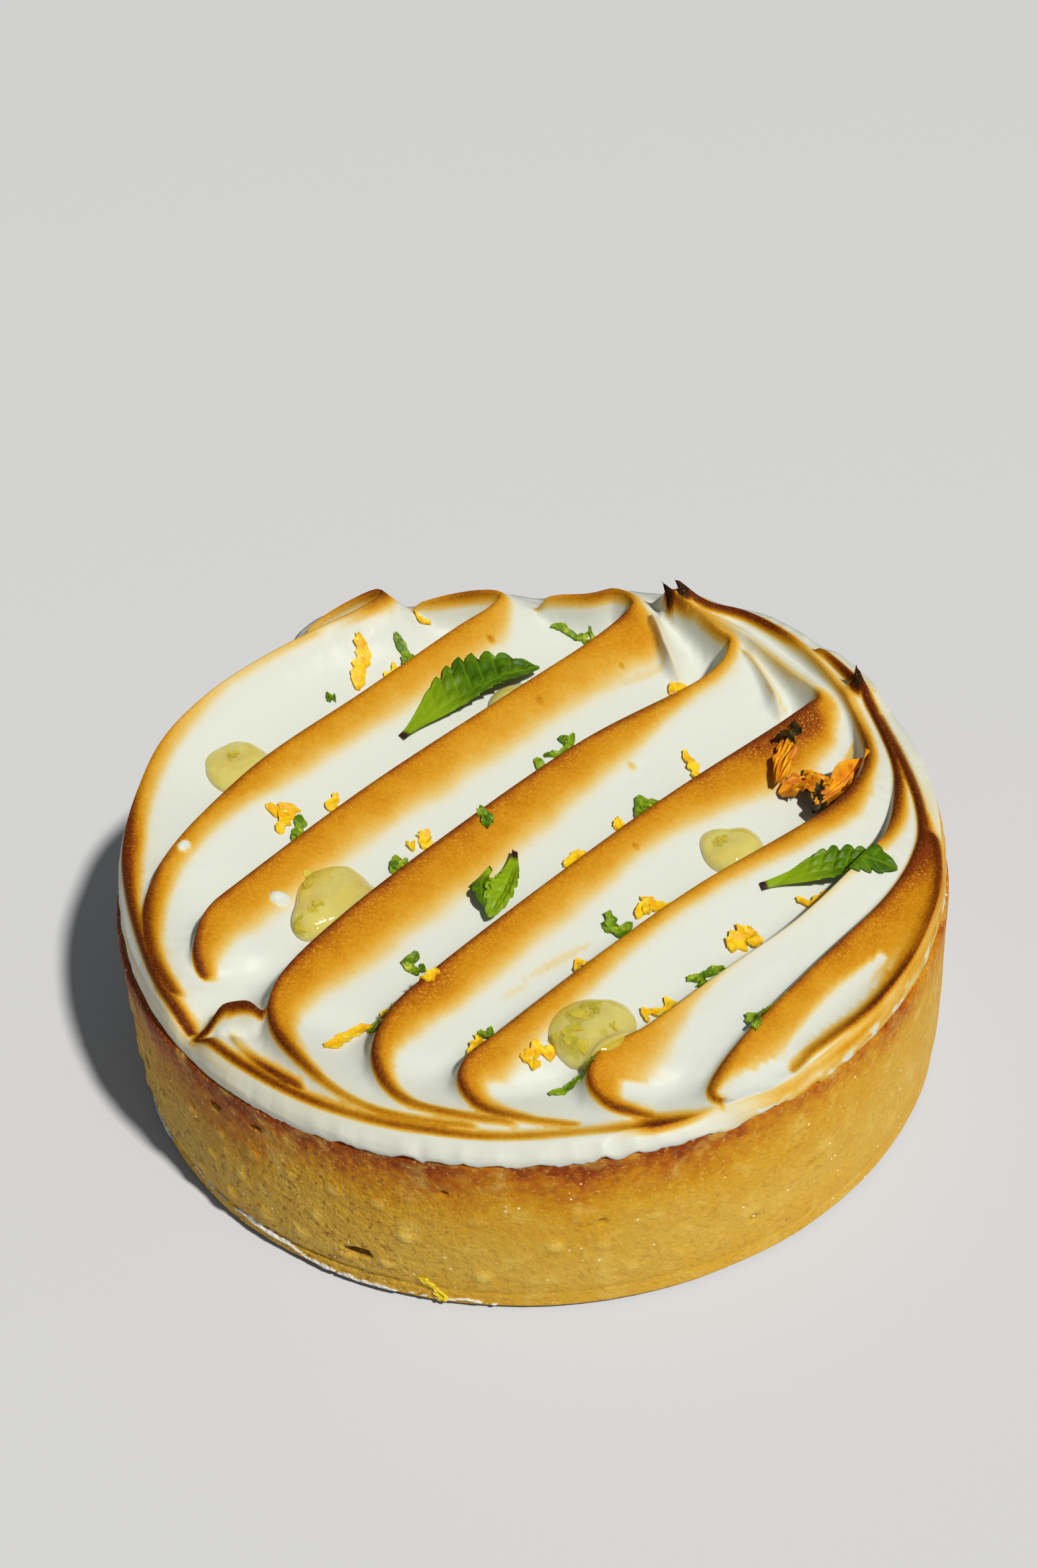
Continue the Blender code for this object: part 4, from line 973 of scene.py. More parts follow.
# Run of the dried smear at the foot: angle in degrees, height, half width
SMEAR = [
    (195.0, 1.7, 0.0), (198.0, 1.7, 0.45), (205.0, 1.7, 0.45), (208.0, 2.2, 0.0), (213.0, 3.0, 0.0),
    (216.0, 2.9, 0.22), (218.0, 2.2, 0.28), (222.0, 2.2, 0.12), (226.0, 2.15, 0.32),
    (230.0, 1.9, 0.34), (233.0, 2.0, 0.38), (235.5, 1.3, 0.46), (239.0, 0.85, 0.34),
    (241.0, 0.8, 0.12), (242.5, 0.85, 0.42), (246.5, 0.85, 0.30), (250.0, 0.9, 0.05),
    (255.0, 1.0, 0.16), (260.0, 0.95, 0.14), (264.0, 0.9, 0.0),
]


def case_radius_at(height):
    """The plain profile: drawn in a little at the foot, with rounded edges."""
    foot = 0.55 * (1.0 - smoothstep(0.0, 0.7, height)) ** 1.5
    lip = 0.75 * smoothstep(CASE_HEIGHT - 0.9, CASE_HEIGHT, height) ** 2
    lean = (RING_RADIUS - CASE_FOOT_RADIUS) * smoothstep(0.3, 5.0, height)
    return CASE_FOOT_RADIUS + lean - foot - lip


def dots_at(angle, height):
    """How far the dots of the ring stand out here, before their strength."""
    best = 0.0
    for row, (level, strength) in enumerate(DOT_ROWS):
        if abs(height - level) > 2.0 * DOT_RADIUS:
            continue
        turn = angle / (2 * math.pi) * DOT_COLUMNS + 0.5 * (row % 2)
        column = round(turn)
        chance = noise.noise(Vector((column * 3.7, row * 5.1, 0.5)))
        if chance < -0.25:
            continue
        across = (turn - column) * 2 * math.pi * RING_RADIUS / DOT_COLUMNS
        reach = math.hypot(across, height - level - chance) / DOT_RADIUS
        best = max(best, strength * (0.6 + 0.6 * chance) * (1.0 - float(smoothstep(0.25, 1.25, reach))))
    return best


def smear_at(angle, height, ragged):
    """The thin smear of meringue that dried on at the foot of the front left side."""
    turn = math.degrees(angle) % 360.0
    turns, levels, halves = zip(*SMEAR)
    level, half = np.interp(turn, turns, levels), np.interp(turn, turns, halves)
    wide = half * (0.8 + 1.1 * ragged)
    if wide < 0.03:
        return 0.0
    return float(smoothstep(wide, 0.55 * wide, abs(height - level - 0.5 * ragged)))


def case_point(angle, height):
    """Radius of the side and its masks: dots, crumbliness, pits and smear."""
    around = Vector((math.cos(angle), math.sin(angle), 0.0)) * RING_RADIUS + Vector((0.0, 0.0, height))
    broad = noise.noise(around / 9.0)
    middle = noise.noise(around / 2.2 + Vector((7.0, 0.0, 0.0)))
    fine = noise.noise(around / 0.8 + Vector((0.0, 5.0, 0.0)))
    left = float(smoothstep(0.35, 0.95, -math.cos(angle - 0.35)))
    crumb = 0.3 + 0.7 * left
    smooth_side = float(smoothstep(0.1, 0.8, math.cos(angle + 0.3)))
    dot = (DOT_PROUD - 0.26 * smooth_side) * dots_at(angle, height)
    level = CREASE_LEVEL + 0.25 * broad + 0.15 * middle
    deep = CREASE_DEPTH + 0.16 * float(smoothstep(0.0, 0.6, -math.cos(angle)))
    crease = deep * math.exp(-((height - level) / CREASE_WIDTH) ** 2)
    smear = smear_at(angle, height, 0.5 * middle + 0.5 * fine)
    pit = 0.0
    for pit_angle, level, wide, high, depth in PITS:
        gap = (angle - math.radians(pit_angle) + math.pi) % (2 * math.pi) - math.pi
        reach = math.hypot(gap * RING_RADIUS / wide, (height - level) / high) + 0.35 * fine
        pit = max(pit, depth * (1.0 - float(smoothstep(0.55, 1.1, reach))))
    rough = 0.08 * broad + crumb * (0.09 * middle + 0.09 * fine)
    flake = crumb * 0.25 * max(0.0, fine - 0.2)
    radius = case_radius_at(height) + dot + rough - flake - pit - crease + SMEAR_PROUD * smear
    return radius, dot, pit + crease, left, smear


def case_heights():
    """Levels of the grid, closer together at the foot and the rim."""
    low = [0.0, 0.12, 0.26, 0.42, 0.6, 0.8, 1.0, 1.2, 1.35, 1.5, 1.65, 1.8, 2.0, 2.25]
    middle = list(np.arange(2.5, CASE_HEIGHT - 1.2, 0.29))
    high = [CASE_HEIGHT - drop for drop in (1.1, 0.85, 0.62, 0.42, 0.25, 0.12, 0.0)]
    return low + middle + high


def ring_faces(below, above, count):
    """Triangles between two rings, given by the number of each ring's first point."""
    joined = []
    for k in range(count):
        after = (k + 1) % count
        joined += [(below + k, below + after, above + after), (below + k, above + after, above + k)]
    return joined


def build_case():
    """The side from level to level, closed below and above, with the masks for its finish."""
    points, triangles = [], []
    masks = {"dot": [], "pit": [], "left": [], "smear": []}
    levels = case_heights()
    for height in levels:
        for k in range(CASE_COLUMNS):
            angle = 2 * math.pi * k / CASE_COLUMNS
            radius, *values = case_point(angle, height)
            points.append((radius * math.cos(angle), radius * math.sin(angle), height))
            for mask, value in zip(masks.values(), values):
                mask.append(value)
    for row in range(len(levels) - 1):
        triangles += ring_faces(row * CASE_COLUMNS, (row + 1) * CASE_COLUMNS, CASE_COLUMNS)
    for level, first, up in ((0.0, 0, False), (CASE_HEIGHT, (len(levels) - 1) * CASE_COLUMNS, True)):
        centre = len(points)
        points.append((0.0, 0.0, level))
        for mask in masks.values():
            mask.append(0.0)
        for k in range(CASE_COLUMNS):
            a, b = first + k, first + (k + 1) % CASE_COLUMNS
            triangles.append((a, b, centre) if up else (b, a, centre))
    return mesh_piece("baked_case", points, triangles, masks, 50.0)


case = build_case()
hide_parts("pastry_case")
print("case mesh of", len(case.data.polygons), "triangles")

# %% [markdown]
# ## Baked pastry
# Short pastry is a golden yellow with butter, paler where the ring kept the heat off and orange brown
# under the rim, where the ramp also paints the shade of the meringue above. Its surface is a fine crumb
# with tiny glints of fat, painted into its colour as highlights. Height above the foot and a slow noise
# drive one ramp, the dots come out paler, the pits and the crease are darkened as painted shade, and the
# very edge of the foot is dark, as a baked edge and as painted contact shadow.

# %% Finish of the case
def baked_pastry():
    material, tree, shader = start_finish("baked_pastry", (0.62, 0.36, 0.06), 0.55)
    place = add_node(tree, "ShaderNodeSeparateXYZ")
    put(tree, place.inputs["Vector"], add_node(tree, "ShaderNodeTexCoord").outputs["Object"])
    height = math_node(tree, "DIVIDE", place.outputs["Z"], CASE_HEIGHT * MM)
    left = mask_from_mesh(tree, "left")
    slow = smooth_range(tree, food_noise(tree, 110.0, 3.0), 0.25, 0.75, -0.11, 0.11)
    crumb = food_noise(tree, 900.0, 4.0, 0.65)
    uneven = math_node(tree, "ADD", slow, smooth_range(tree, crumb, 0.3, 0.7, -0.06, 0.06))
    level = math_node(tree, "ADD", height, uneven)
    level = math_node(tree, "ADD", level, smooth_range(tree, left, 0.1, 1.0, 0.0, 0.02))
    level = math_node(tree, "ADD", level, smooth_range(tree, place.outputs["X"], 0.008, 0.040, 0.0, -0.11))
    # Toward the rim the ramp darkens: baked colour, and painted shade under the meringue.
    colour = ramp(tree, level, [(0.0, (0.67, 0.37, 0.026)), (0.11, (0.65, 0.365, 0.028)),
                                (0.26, (0.63, 0.385, 0.050)), (0.48, (0.625, 0.355, 0.032)),
                                (0.66, (0.62, 0.315, 0.011)), (0.81, (0.54, 0.21, 0.002)),
                                (0.93, (0.40, 0.095, 0.001)), (1.0, (0.24, 0.036, 0.001))])
    mottle = smooth_range(tree, food_noise(tree, 330.0, 2.0), 0.52, 0.72, 0.0, 0.45)
    colour = mix_colour(tree, mottle, colour, (0.74, 0.52, 0.10))
    amber = smooth_range(tree, food_noise(tree, 520.0, 3.0, 0.7), 0.58, 0.74, 0.0, 0.45)
    colour = mix_colour(tree, amber, colour, (0.50, 0.22, 0.008))
    speck = smooth_range(tree, food_noise(tree, 1500.0, 2.0), 0.56, 0.68, 0.0, 1.0)
    speck = math_node(tree, "MULTIPLY", speck, smooth_range(tree, left, 0.0, 0.8, 0.22, 0.75))
    colour = mix_colour(tree, speck, colour, (0.27, 0.10, 0.010))
    pale = smooth_range(tree, food_noise(tree, 2400.0, 2.0), 0.55, 0.75, 0.0, 0.40)
    colour = mix_colour(tree, pale, colour, (0.80, 0.58, 0.14))
    dot = smooth_range(tree, mask_from_mesh(tree, "dot"), 0.04, 0.28, 0.0, 0.65)
    colour = mix_colour(tree, dot, colour, (0.80, 0.57, 0.11))
    # Painted shade: the pits and the crease are darkened in their recesses.
    pit = smooth_range(tree, mask_from_mesh(tree, "pit"), 0.05, 0.6, 0.0, 0.75)
    colour = mix_colour(tree, pit, colour, (0.32, 0.12, 0.008))
    # The foot's very edge is painted dark: a baked edge and painted contact shadow.
    sole = smooth_range(tree, height, 0.030, 0.012, 0.0, 0.92)
    colour = mix_colour(tree, sole, colour, (0.10, 0.03, 0.006))
    # Painted highlights: tiny pale glints mixed into the colour.
    painted_glints = use_group(tree, WET_GLINTS, Scale=520.0, Size=0.085)["Mask"]
    colour = mix_colour(tree, math_node(tree, "MULTIPLY", painted_glints, 0.85), colour, (1.0, 0.90, 0.60))
    smear = smooth_range(tree, mask_from_mesh(tree, "smear"), 0.15, 0.6)
    colour = mix_colour(tree, smear, colour, (0.78, 0.75, 0.66))
    bounced = add_node(tree, "ShaderNodeLightPath").outputs["Is Diffuse Ray"]
    dimmed = mix_colour(tree, math_node(tree, "MULTIPLY", bounced, 0.85), colour, (0.20, 0.20, 0.20))
    put(tree, shader.inputs["Base Color"], dimmed)
    glint = use_group(tree, WET_GLINTS, Scale=1300.0, Size=0.20)["Mask"]
    put(tree, shader.inputs["Roughness"], smooth_range(tree, glint, 0.0, 1.0, 0.58, 0.15))
    shader.inputs["Specular IOR Level"].default_value = 0.12
    broad = rough_skin(tree, [(330.0, 0.35, 0.0006)])
    coarse = smooth_range(tree, left, 0.0, 0.9, 0.35, 1.0)
    grain = use_group(tree, ROUGH_SKIN, Scale=1300.0, Strength=coarse, Depth=0.0004, Normal=broad)
    fine = use_group(tree, ROUGH_SKIN, Scale=3600.0, Strength=0.45, Depth=0.00015, Normal=grain["Normal"])
    put(tree, shader.inputs["Normal"], fine["Normal"])
    let_light_in(shader, 0.08, (1.0, 0.5, 0.2), 0.001)
    return material


case.data.materials.append(baked_pastry())
print("baked pastry of", len(case.active_material.node_tree.nodes), "nodes")

# %% [markdown]
# ## What the toppings lie on
# Gel, leaves and zest rest on the finished meringue. Casting a ray straight down onto its mesh gives the
# ground under any place, so each topping can be laid without guessing.

# %% Ground under the toppings
class Ground:
    """The upper skin of what was laid so far."""

    def __init__(self):
        self.trees = []

    def lay(self, piece):
        body = bmesh.new()
        body.from_mesh(piece.data)
        self.trees.append(BVHTree.FromBMesh(body))
        body.free()

    def height(self, x, y, reach=0.0):
        spots = [(0.0, 0.0)]
        if reach:
            spots += [(reach, 0.0), (-reach, 0.0), (0.0, reach), (0.0, -reach)]
        best = CASE_HEIGHT
        for dx, dy in spots:
            origin = Vector(((x + dx) * MM, (y + dy) * MM, 0.1))
            for tree in self.trees:
                hit = tree.ray_cast(origin, Vector((0.0, 0.0, -1.0)))[0]
                if hit is not None:
                    best = max(best, hit.z / MM)
        return best


ground = Ground()
ground.lay(meringue)
print("middle of the tart %.1f mm high" % ground.height(0.0, 0.0))

# %% [markdown]
# ## Drops of lemon gel
# The gel was piped in round drops that slumped into the hollows: low domes with a tight round edge, wet
# and half clear, with shreds of zest held in them. A metaball would round them too much, so each drop is
# a dome on rings: an oval joined with its lobes and evened out, and its skirt sinks into the meringue so
# that no gap shows.

# %% Shape of the gel
# Place, radius across and along, turn in degrees, height, and lobes (dx, dy, radius) of each drop
GEL_DROPS = [
    (-30.2, 13.6, 3.7, 3.3, 20.0, 1.5, [(-1.0, 1.2, 3.0)]),
    (-0.3, 21.8, 3.3, 2.7, 30.0, 1.6, [(1.4, 1.0, 2.2)]),
    (20.1, -5.5, 2.9, 2.5, 20.0, 1.5, [(1.6, 1.1, 1.9), (-1.3, 1.0, 1.8)]),
    (4.5, -30.2, 3.9, 3.7, 10.0, 1.8, [(2.2, 1.4, 2.2)]),
    (-19.3, -9.0, 3.9, 3.9, 35.0, 1.8, [(-2.6, -3.4, 1.9), (2.6, -0.6, 2.2)]),
]
GEL_SIDES = 96
GEL_RINGS = 26
GEL_SKIRT = 4
# How deep the skirt and the underside sink, and how far the drop stands off the meringue
SKIRT_DEPTH, SOLE_DEPTH, STAND_OFF = 0.9, 0.8, 0.1


def drop_outline(across, along, turn, lobes):
    """Radius of the drop in each direction: an oval joined with its lobes, then evened out."""
    radii = []
    for j in range(GEL_SIDES):
        angle = math.tau * j / GEL_SIDES
        own = angle - math.radians(turn)
        best = 1.0 / math.hypot(math.cos(own) / across, math.sin(own) / along)
        for dx, dy, radius in lobes:
            forward = dx * math.cos(angle) + dy * math.sin(angle)
            aside = dy * math.cos(angle) - dx * math.sin(angle)
            if abs(aside) < radius:
                best = max(best, forward + math.sqrt(radius * radius - aside * aside))
        radii.append(best)
    for _ in range(12):
        radii = [(radii[j - 1] + 2 * radii[j] + radii[(j + 1) % GEL_SIDES]) / 4
                 for j in range(GEL_SIDES)]
    return radii


def gel_drop(number, x, y, across, along, turn, rise, lobes):
    """One drop: skirt, dome and underside, seated on the meringue below it."""
    radii = drop_outline(across, along, turn, lobes)
    base = min(ground.height(x, y), 0.25 * sum(ground.height(x + dx, y + dy)
                                               for dx, dy in ((1, 0), (-1, 0), (0, 1), (0, -1))))
    points, triangles = [], []
    for ring in range(GEL_RINGS):
        for j in range(GEL_SIDES):
            angle = math.tau * j / GEL_SIDES
            if ring < GEL_SKIRT:
                reach, lift = 0.90 + 0.10 * ring / GEL_SKIRT, -SKIRT_DEPTH * (1.0 - ring / GEL_SKIRT)
            else:
                up = 0.5 * math.pi * (ring - GEL_SKIRT) / (GEL_RINGS - GEL_SKIRT)
                reach, lift = math.cos(up) ** 0.8, rise * math.sin(up) ** 0.9
            px, py = x + radii[j] * reach * math.cos(angle), y + radii[j] * reach * math.sin(angle)
            level = min(max(ground.height(px, py), base - 1.0), base + 0.7)
            seat = base + (level - base) * reach ** 2
            lump = 0.14 * noise.noise(Vector((px * 0.4, py * 0.4, number))) * min(1.0, 1.6 - reach)
            points.append((px, py, seat + STAND_OFF + lift + lump))
    for ring in range(GEL_RINGS - 1):
        triangles += ring_faces(ring * GEL_SIDES, (ring + 1) * GEL_SIDES, GEL_SIDES)
    crown, sole = len(points), len(points) + 1
    points += [(x, y, base + STAND_OFF + rise), (x, y, base - SOLE_DEPTH)]
    last = (GEL_RINGS - 1) * GEL_SIDES
    for j in range(GEL_SIDES):
        after = (j + 1) % GEL_SIDES
        triangles.extend([(last + j, last + after, crown), (after, j, sole)])
    drop = mesh_piece("gel_drop_%d" % number, points, triangles, None, None)
    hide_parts("lemon_gel_%d" % number)
    return drop


gel_drops = [gel_drop(number, *spec) for number, spec in enumerate(GEL_DROPS, start=1)]
for drop in gel_drops:
    ground.lay(drop)
print(len(gel_drops), "drops of gel")


# %% [markdown]
# ## Clear gel
# The gel is set lemon juice: yellow, wet on top, and clear enough to show what is in it. Glass would
# look too hard and empty, so the shader mixes a little transmission and alpha with light that spreads
# inside, and a coat gives the wet top.

# %% Finish of the gel
def clear_gel():
    material, tree, shader = start_finish("clear_gel", (0.84, 0.66, 0.14), 0.05)
    tint = use_group(tree, COLOUR_PATCHES, Scale=350.0, Low=0.35, High=0.65, First=(0.96, 0.79, 0.12),
                     Second=(0.92, 0.67, 0.05))
    put(tree, shader.inputs["Base Color"], tint["Colour"])
    shader.inputs["IOR"].default_value = 1.40
    shader.inputs["Alpha"].default_value = 0.66
    shader.inputs["Transmission Weight"].default_value = 0.16
    let_light_in(shader, 0.6, (1.0, 0.85, 0.4), 0.0020)
    shader.inputs["Coat Weight"].default_value = 0.9
    shader.inputs["Coat Roughness"].default_value = 0.03
    put(tree, shader.inputs["Normal"], rough_skin(tree, [(260.0, 0.6, 0.0010), (900.0, 0.25, 0.0003)]))
    return material


gel_finish = clear_gel()
for drop in gel_drops:
    drop.data.materials.append(gel_finish)
print("clear gel on", len(gel_drops), "drops")

# %% [markdown]
# ## Shreds of peel
# Candied lemon peel and lime zest come off the grater as short ragged ribbons that curl and clump. Each
# shred is a thin bent strip: its width changes along it, its edges are torn and stand up, and its ends
# are ragged. The two colours are two pieces, since they are two kinds of peel.

# %% Shape of the shreds
# Place, turn in degrees, length, width, curl of each shred
YELLOW_SHREDS = [
    (-17.8, 28.2, 86.0, 5.0, 1.5, 0.4), (-14.1, 27.9, 60.0, 2.0, 0.9, 0.2),
    (-10.6, 35.0, -25.0, 2.0, 0.6, 0.1), (-24.5, 3.2, 60.0, 3.8, 1.4, 0.6),
    (-25.6, 3.9, 175.0, 2.4, 0.9, 0.3), (-19.6, 6.1, 110.0, 2.8, 1.2, 0.4),
    (-19.3, 5.4, 20.0, 1.8, 0.9, 0.2), (17.6, 22.5, 20.0, 2.4, 1.0, 0.7),
    (17.9, 8.4, 110.0, 3.8, 1.0, 0.4), (18.6, 7.2, 20.0, 1.8, 0.7, 0.3),
    (9.4, 0.2, 20.0, 1.2, 1.0, 0.2), (4.9, -4.6, 20.0, 3.4, 1.0, 0.3),
    (11.8, -13.3, 15.0, 4.0, 1.3, 0.6), (10.9, -12.6, 100.0, 1.8, 1.0, 0.4),
    (19.8, -18.8, 40.0, 3.4, 1.9, 0.5), (20.9, -18.3, 120.0, 2.2, 1.4, 0.4),
    (11.5, -26.7, 30.0, 2.8, 1.4, 0.4), (10.0, -27.6, 60.0, 1.6, 0.8, 0.3),
    (4.3, -20.5, 20.0, 1.8, 0.8, 0.3), (-10.6, -0.8, 120.0, 2.0, 1.5, 0.3),
    (-11.9, -1.3, 20.0, 0.9, 0.8, 0.1), (-9.9, -23.7, 20.0, 2.0, 0.7, 0.3),
    (-17.6, -27.8, 35.0, 5.2, 1.0, 0.5), (-14.0, -25.6, 50.0, 2.2, 1.2, 0.4),
    (-6.5, -30.1, 75.0, 2.8, 0.9, 0.6), (0.0, -32.6, 20.0, 2.6, 1.2, 0.4),
    (-1.0, -33.0, 160.0, 1.8, 0.9, 0.3), (27.2, -13.6, 20.0, 3.2, 1.0, 0.3),
]
GREEN_SHREDS = [
    (-12.8, 29.9, 110.0, 3.6, 1.0, 0.5), (-12.2, 28.9, 60.0, 1.6, 0.9, 0.3),
    (-20.9, 24.5, 30.0, 1.0, 0.8, 0.2), (6.2, 33.7, -12.0, 4.2, 0.55, 0.3),
    (8.3, 33.0, 60.0, 1.6, 0.7, 0.3), (4.1, 13.1, 45.0, 4.6, 1.0, 0.6),
    (5.0, 13.6, 100.0, 2.0, 0.9, 0.5), (1.8, 10.0, 120.0, 2.6, 0.9, 0.4),
    (12.4, 2.6, 35.0, 3.2, 1.3, 0.7), (11.6, 1.9, 80.0, 1.8, 0.8, 0.3),
    (-23.1, 2.4, 95.0, 3.6, 1.0, 0.5), (-23.3, 1.0, 30.0, 1.6, 0.9, 0.4),
    (-4.3, -1.6, 120.0, 2.0, 0.9, 0.3), (-4.0, -1.9, 30.0, 1.2, 0.8, 0.2),
    (-13.2, -4.3, 20.0, 1.9, 1.3, 0.4), (-12.8, -4.0, 100.0, 1.4, 1.0, 0.3),
    (8.1, -15.4, 10.0, 2.9, 1.5, 0.6), (7.6, -14.8, 80.0, 1.9, 1.0, 0.5),
    (15.9, -23.0, 20.0, 3.8, 0.7, 0.4), (15.2, -23.4, 70.0, 1.6, 0.6, 0.3),
    (20.0, -29.6, 60.0, 3.4, 1.3, 0.4), (-11.6, -18.5, 90.0, 2.6, 1.0, 0.4),
    (-11.4, -19.0, 40.0, 1.4, 0.8, 0.3), (-5.0, -28.4, 30.0, 1.5, 1.0, 0.3),
    (2.6, -35.6, 20.0, 4.4, 0.6, 0.5), (-14.6, -26.6, 20.0, 2.6, 1.1, 0.5),
    (-13.9, -26.3, 80.0, 1.5, 0.8, 0.3),
]
# Bits of peel held in the gel, just under its skin
HELD_SHREDS = [
    (3.9, -28.6, 20.0, 2.6, 1.5, 0.3), (5.2, -28.2, 80.0, 1.6, 1.0, 0.2),
    (2.6, -31.2, 70.0, 2.4, 1.3, 0.3), (3.4, -32.4, 10.0, 1.4, 0.9, 0.2),
    (0.9, -31.6, 100.0, 1.2, 0.7, 0.2), (6.6, -30.6, 30.0, 0.6, 0.5, 0.1),
    (-21.7, -7.4, 70.0, 2.4, 1.1, 0.3), (-21.0, -11.2, 160.0, 1.2, 0.5, 0.2),
    (-22.6, -13.0, 100.0, 1.6, 0.6, 0.2), (-31.0, 15.0, 60.0, 1.0, 0.6, 0.1),
    (19.4, -4.9, 40.0, 1.2, 0.8, 0.2),
]
SHRED_STATIONS = 26
SHRED_ACROSS = 7
SHRED_THICKNESS = 0.17


def sheet_faces(first, rows, wide, turned=False):
    """Triangles of a thin sheet of two grids, one over the other, and of the edge round them."""
    sheet, joined = rows * wide, []
    for k in range(rows - 1):
        for j in range(wide - 1):
            a = first + k * wide + j
            joined += [(a, a + wide + 1, a + 1), (a, a + wide, a + wide + 1)]
            a += sheet
            joined += [(a, a + 1, a + wide + 1), (a, a + wide + 1, a + wide)]
    border = [(0, j) for j in range(wide)] + [(k, wide - 1) for k in range(1, rows)]
    border += [(rows - 1, j) for j in range(wide - 2, -1, -1)]
    border += [(k, 0) for k in range(rows - 2, 0, -1)]
    loop = [first + k * wide + j for k, j in border]
    for a, b in zip(loop, loop[1:] + loop[:1]):
        joined += [(a, b, b + sheet), (a, b + sheet, a + sheet)]
    return [(a, c, b) for a, b, c in joined] if turned else joined


def add_shred(points, triangles, spec, seed, raise_by=0.06, frills=1.0):
    """One ragged ribbon, its middle near the ground and its torn edges up."""
    x, y, turn, length, width, curl = spec
    chance = random.Random(seed)
    c, s = math.cos(math.radians(turn)), math.sin(math.radians(turn))
    twist = chance.uniform(-0.5, 0.5)
    first = len(points)
    for face in (0, 1):
        for k in range(SHRED_STATIONS):
            t = k / (SHRED_STATIONS - 1)
            bow = curl * math.sin(math.pi * t) * math.copysign(1.0, twist)
            bow += 0.25 * math.sin(7.0 * t + seed)
            ends = min(1.0, 0.35 + 3.0 * min(t, 1.0 - t))
            for j in range(SHRED_ACROSS):
                side = 2.0 * j / (SHRED_ACROSS - 1) - 1.0
                torn = 1.0 + 0.75 * noise.noise(Vector((t * length * 1.9, side, seed * 1.7)))
                half = 0.5 * width * ends * torn
                u = (t - 0.5) * length + 0.22 * noise.noise(Vector((side * 2.0, t * 2.0, seed * 2.3)))
                v = side * half + bow
                px, py = x + c * u - s * v, y + s * u + c * v
                ruffle = noise.noise(Vector((t * length * 1.3, side * 2.0, seed)))
                frill = 0.35 * side * side * (0.5 + ruffle)
                arch = 0.30 * math.sin(math.pi * t * 2.0 + seed) ** 2 + twist * 0.3 * side
                level = ground.height(px, py) + raise_by + 0.65 * frills * max(0.0, arch + frill)
                points.append((px, py, level + face * SHRED_THICKNESS - (0.12 if face == 0 else 0.0)))
    triangles += sheet_faces(first, SHRED_STATIONS, SHRED_ACROSS, turned=True)


def shred_piece(name, shreds, slot, **laying):
    points, triangles = [], []
    for number, spec in enumerate(shreds):
        add_shred(points, triangles, spec, number + len(name), **laying)
    piece = mesh_piece(name, points, triangles)
    return piece


def wall_shred(name, turn, low, high, width, slant):
    """The one shred that fell against the side of the case and stuck there."""
    points = []
    rows, columns = 40, 10
    for face in (0, 1):
        for k in range(rows + 1):
            t = k / rows
            height = low + (high - low) * t
            for j in range(columns + 1):
                side = 2.0 * j / columns - 1.0
                torn = 1.0 + 0.9 * noise.noise(Vector((t * 6.0, side, 3.3)))
                across = slant * (t - 0.5) + 0.5 * width * side * torn + 0.35 * math.sin(5.0 * t)
                angle = math.radians(turn) + across / RING_RADIUS
                lump = 0.16 + 0.22 * noise.noise(Vector((t * 5.0, side * 2.0, 1.0)))
                radius = case_point(angle, height)[0] + (max(0.05, lump) if face else -0.1)
                points.append((radius * math.cos(angle), radius * math.sin(angle), height))
    piece = mesh_piece(name, points, sheet_faces(0, rows + 1, columns + 1))
    return piece


stuck_peel = wall_shred("stuck_peel", -105.7, 0.6, 3.7, 0.9, -1.3)
candied_peel = shred_piece("candied_peel", YELLOW_SHREDS, "meringue")
lime_zest = shred_piece("lime_zest", GREEN_SHREDS, "meringue")
held_peel = shred_piece("held_peel", HELD_SHREDS, "gel", raise_by=-0.12, frills=0.15)
print(len(YELLOW_SHREDS) + len(GREEN_SHREDS) + len(HELD_SHREDS), "shreds")


# %% [markdown]
# ## Colours of the peel
# Fresh peel is oily and never one shade. It could be painted, but one finish with three colours does for
# all four kinds: two shades in patches, and a paler one where the pith comes through.

# %% Finish of the shreds
def fresh_peel(name, first, second, pith):
    """Peel: two shades in patches, paler where the pith shows."""
    material, tree, shader = start_finish(name, first, 0.42)
    shader.inputs["Specular IOR Level"].default_value = 0.25
    colour = use_group(tree, COLOUR_PATCHES, Scale=900.0, Low=0.38, High=0.62, First=first,
                       Second=second)["Colour"]
    pale = use_group(tree, COLOUR_PATCHES, Scale=1500.0, Low=0.58, High=0.70, First=colour, Second=pith)
    put(tree, shader.inputs["Base Color"], pale["Colour"])
    put(tree, shader.inputs["Normal"], rough_skin(tree, [(2500.0, 0.6, 0.0002)]))
    let_light_in(shader, 0.25, (1.0, 0.6, 0.15), 0.0006)
    return material


candied_peel.data.materials.append(fresh_peel("yellow_peel", (0.84, 0.43, 0.004), (0.92, 0.60, 0.010),
                                              (0.92, 0.70, 0.09)))
stuck_peel.data.materials.append(fresh_peel("lemon_zest", (0.72, 0.50, 0.006), (0.80, 0.62, 0.02),
                                            (0.80, 0.64, 0.10)))
lime_zest.data.materials.append(fresh_peel("green_zest", (0.070, 0.165, 0.002), (0.22, 0.34, 0.006),
                                           (0.50, 0.55, 0.03)))
held_peel.data.materials.append(fresh_peel("soaked_peel", (0.50, 0.42, 0.03), (0.66, 0.52, 0.05),
                                           (0.60, 0.52, 0.10)))

# %% [markdown]
# ## Mint leaves
# A mint leaf is a thin blade folded along its midrib, with a toothed edge and a skin that puckers
# between its side veins. Each leaf is a grid along and across a curved midrib: one function gives its
# outline with the teeth, another the folds, and the veins are pressed in as a mask that also colours it.

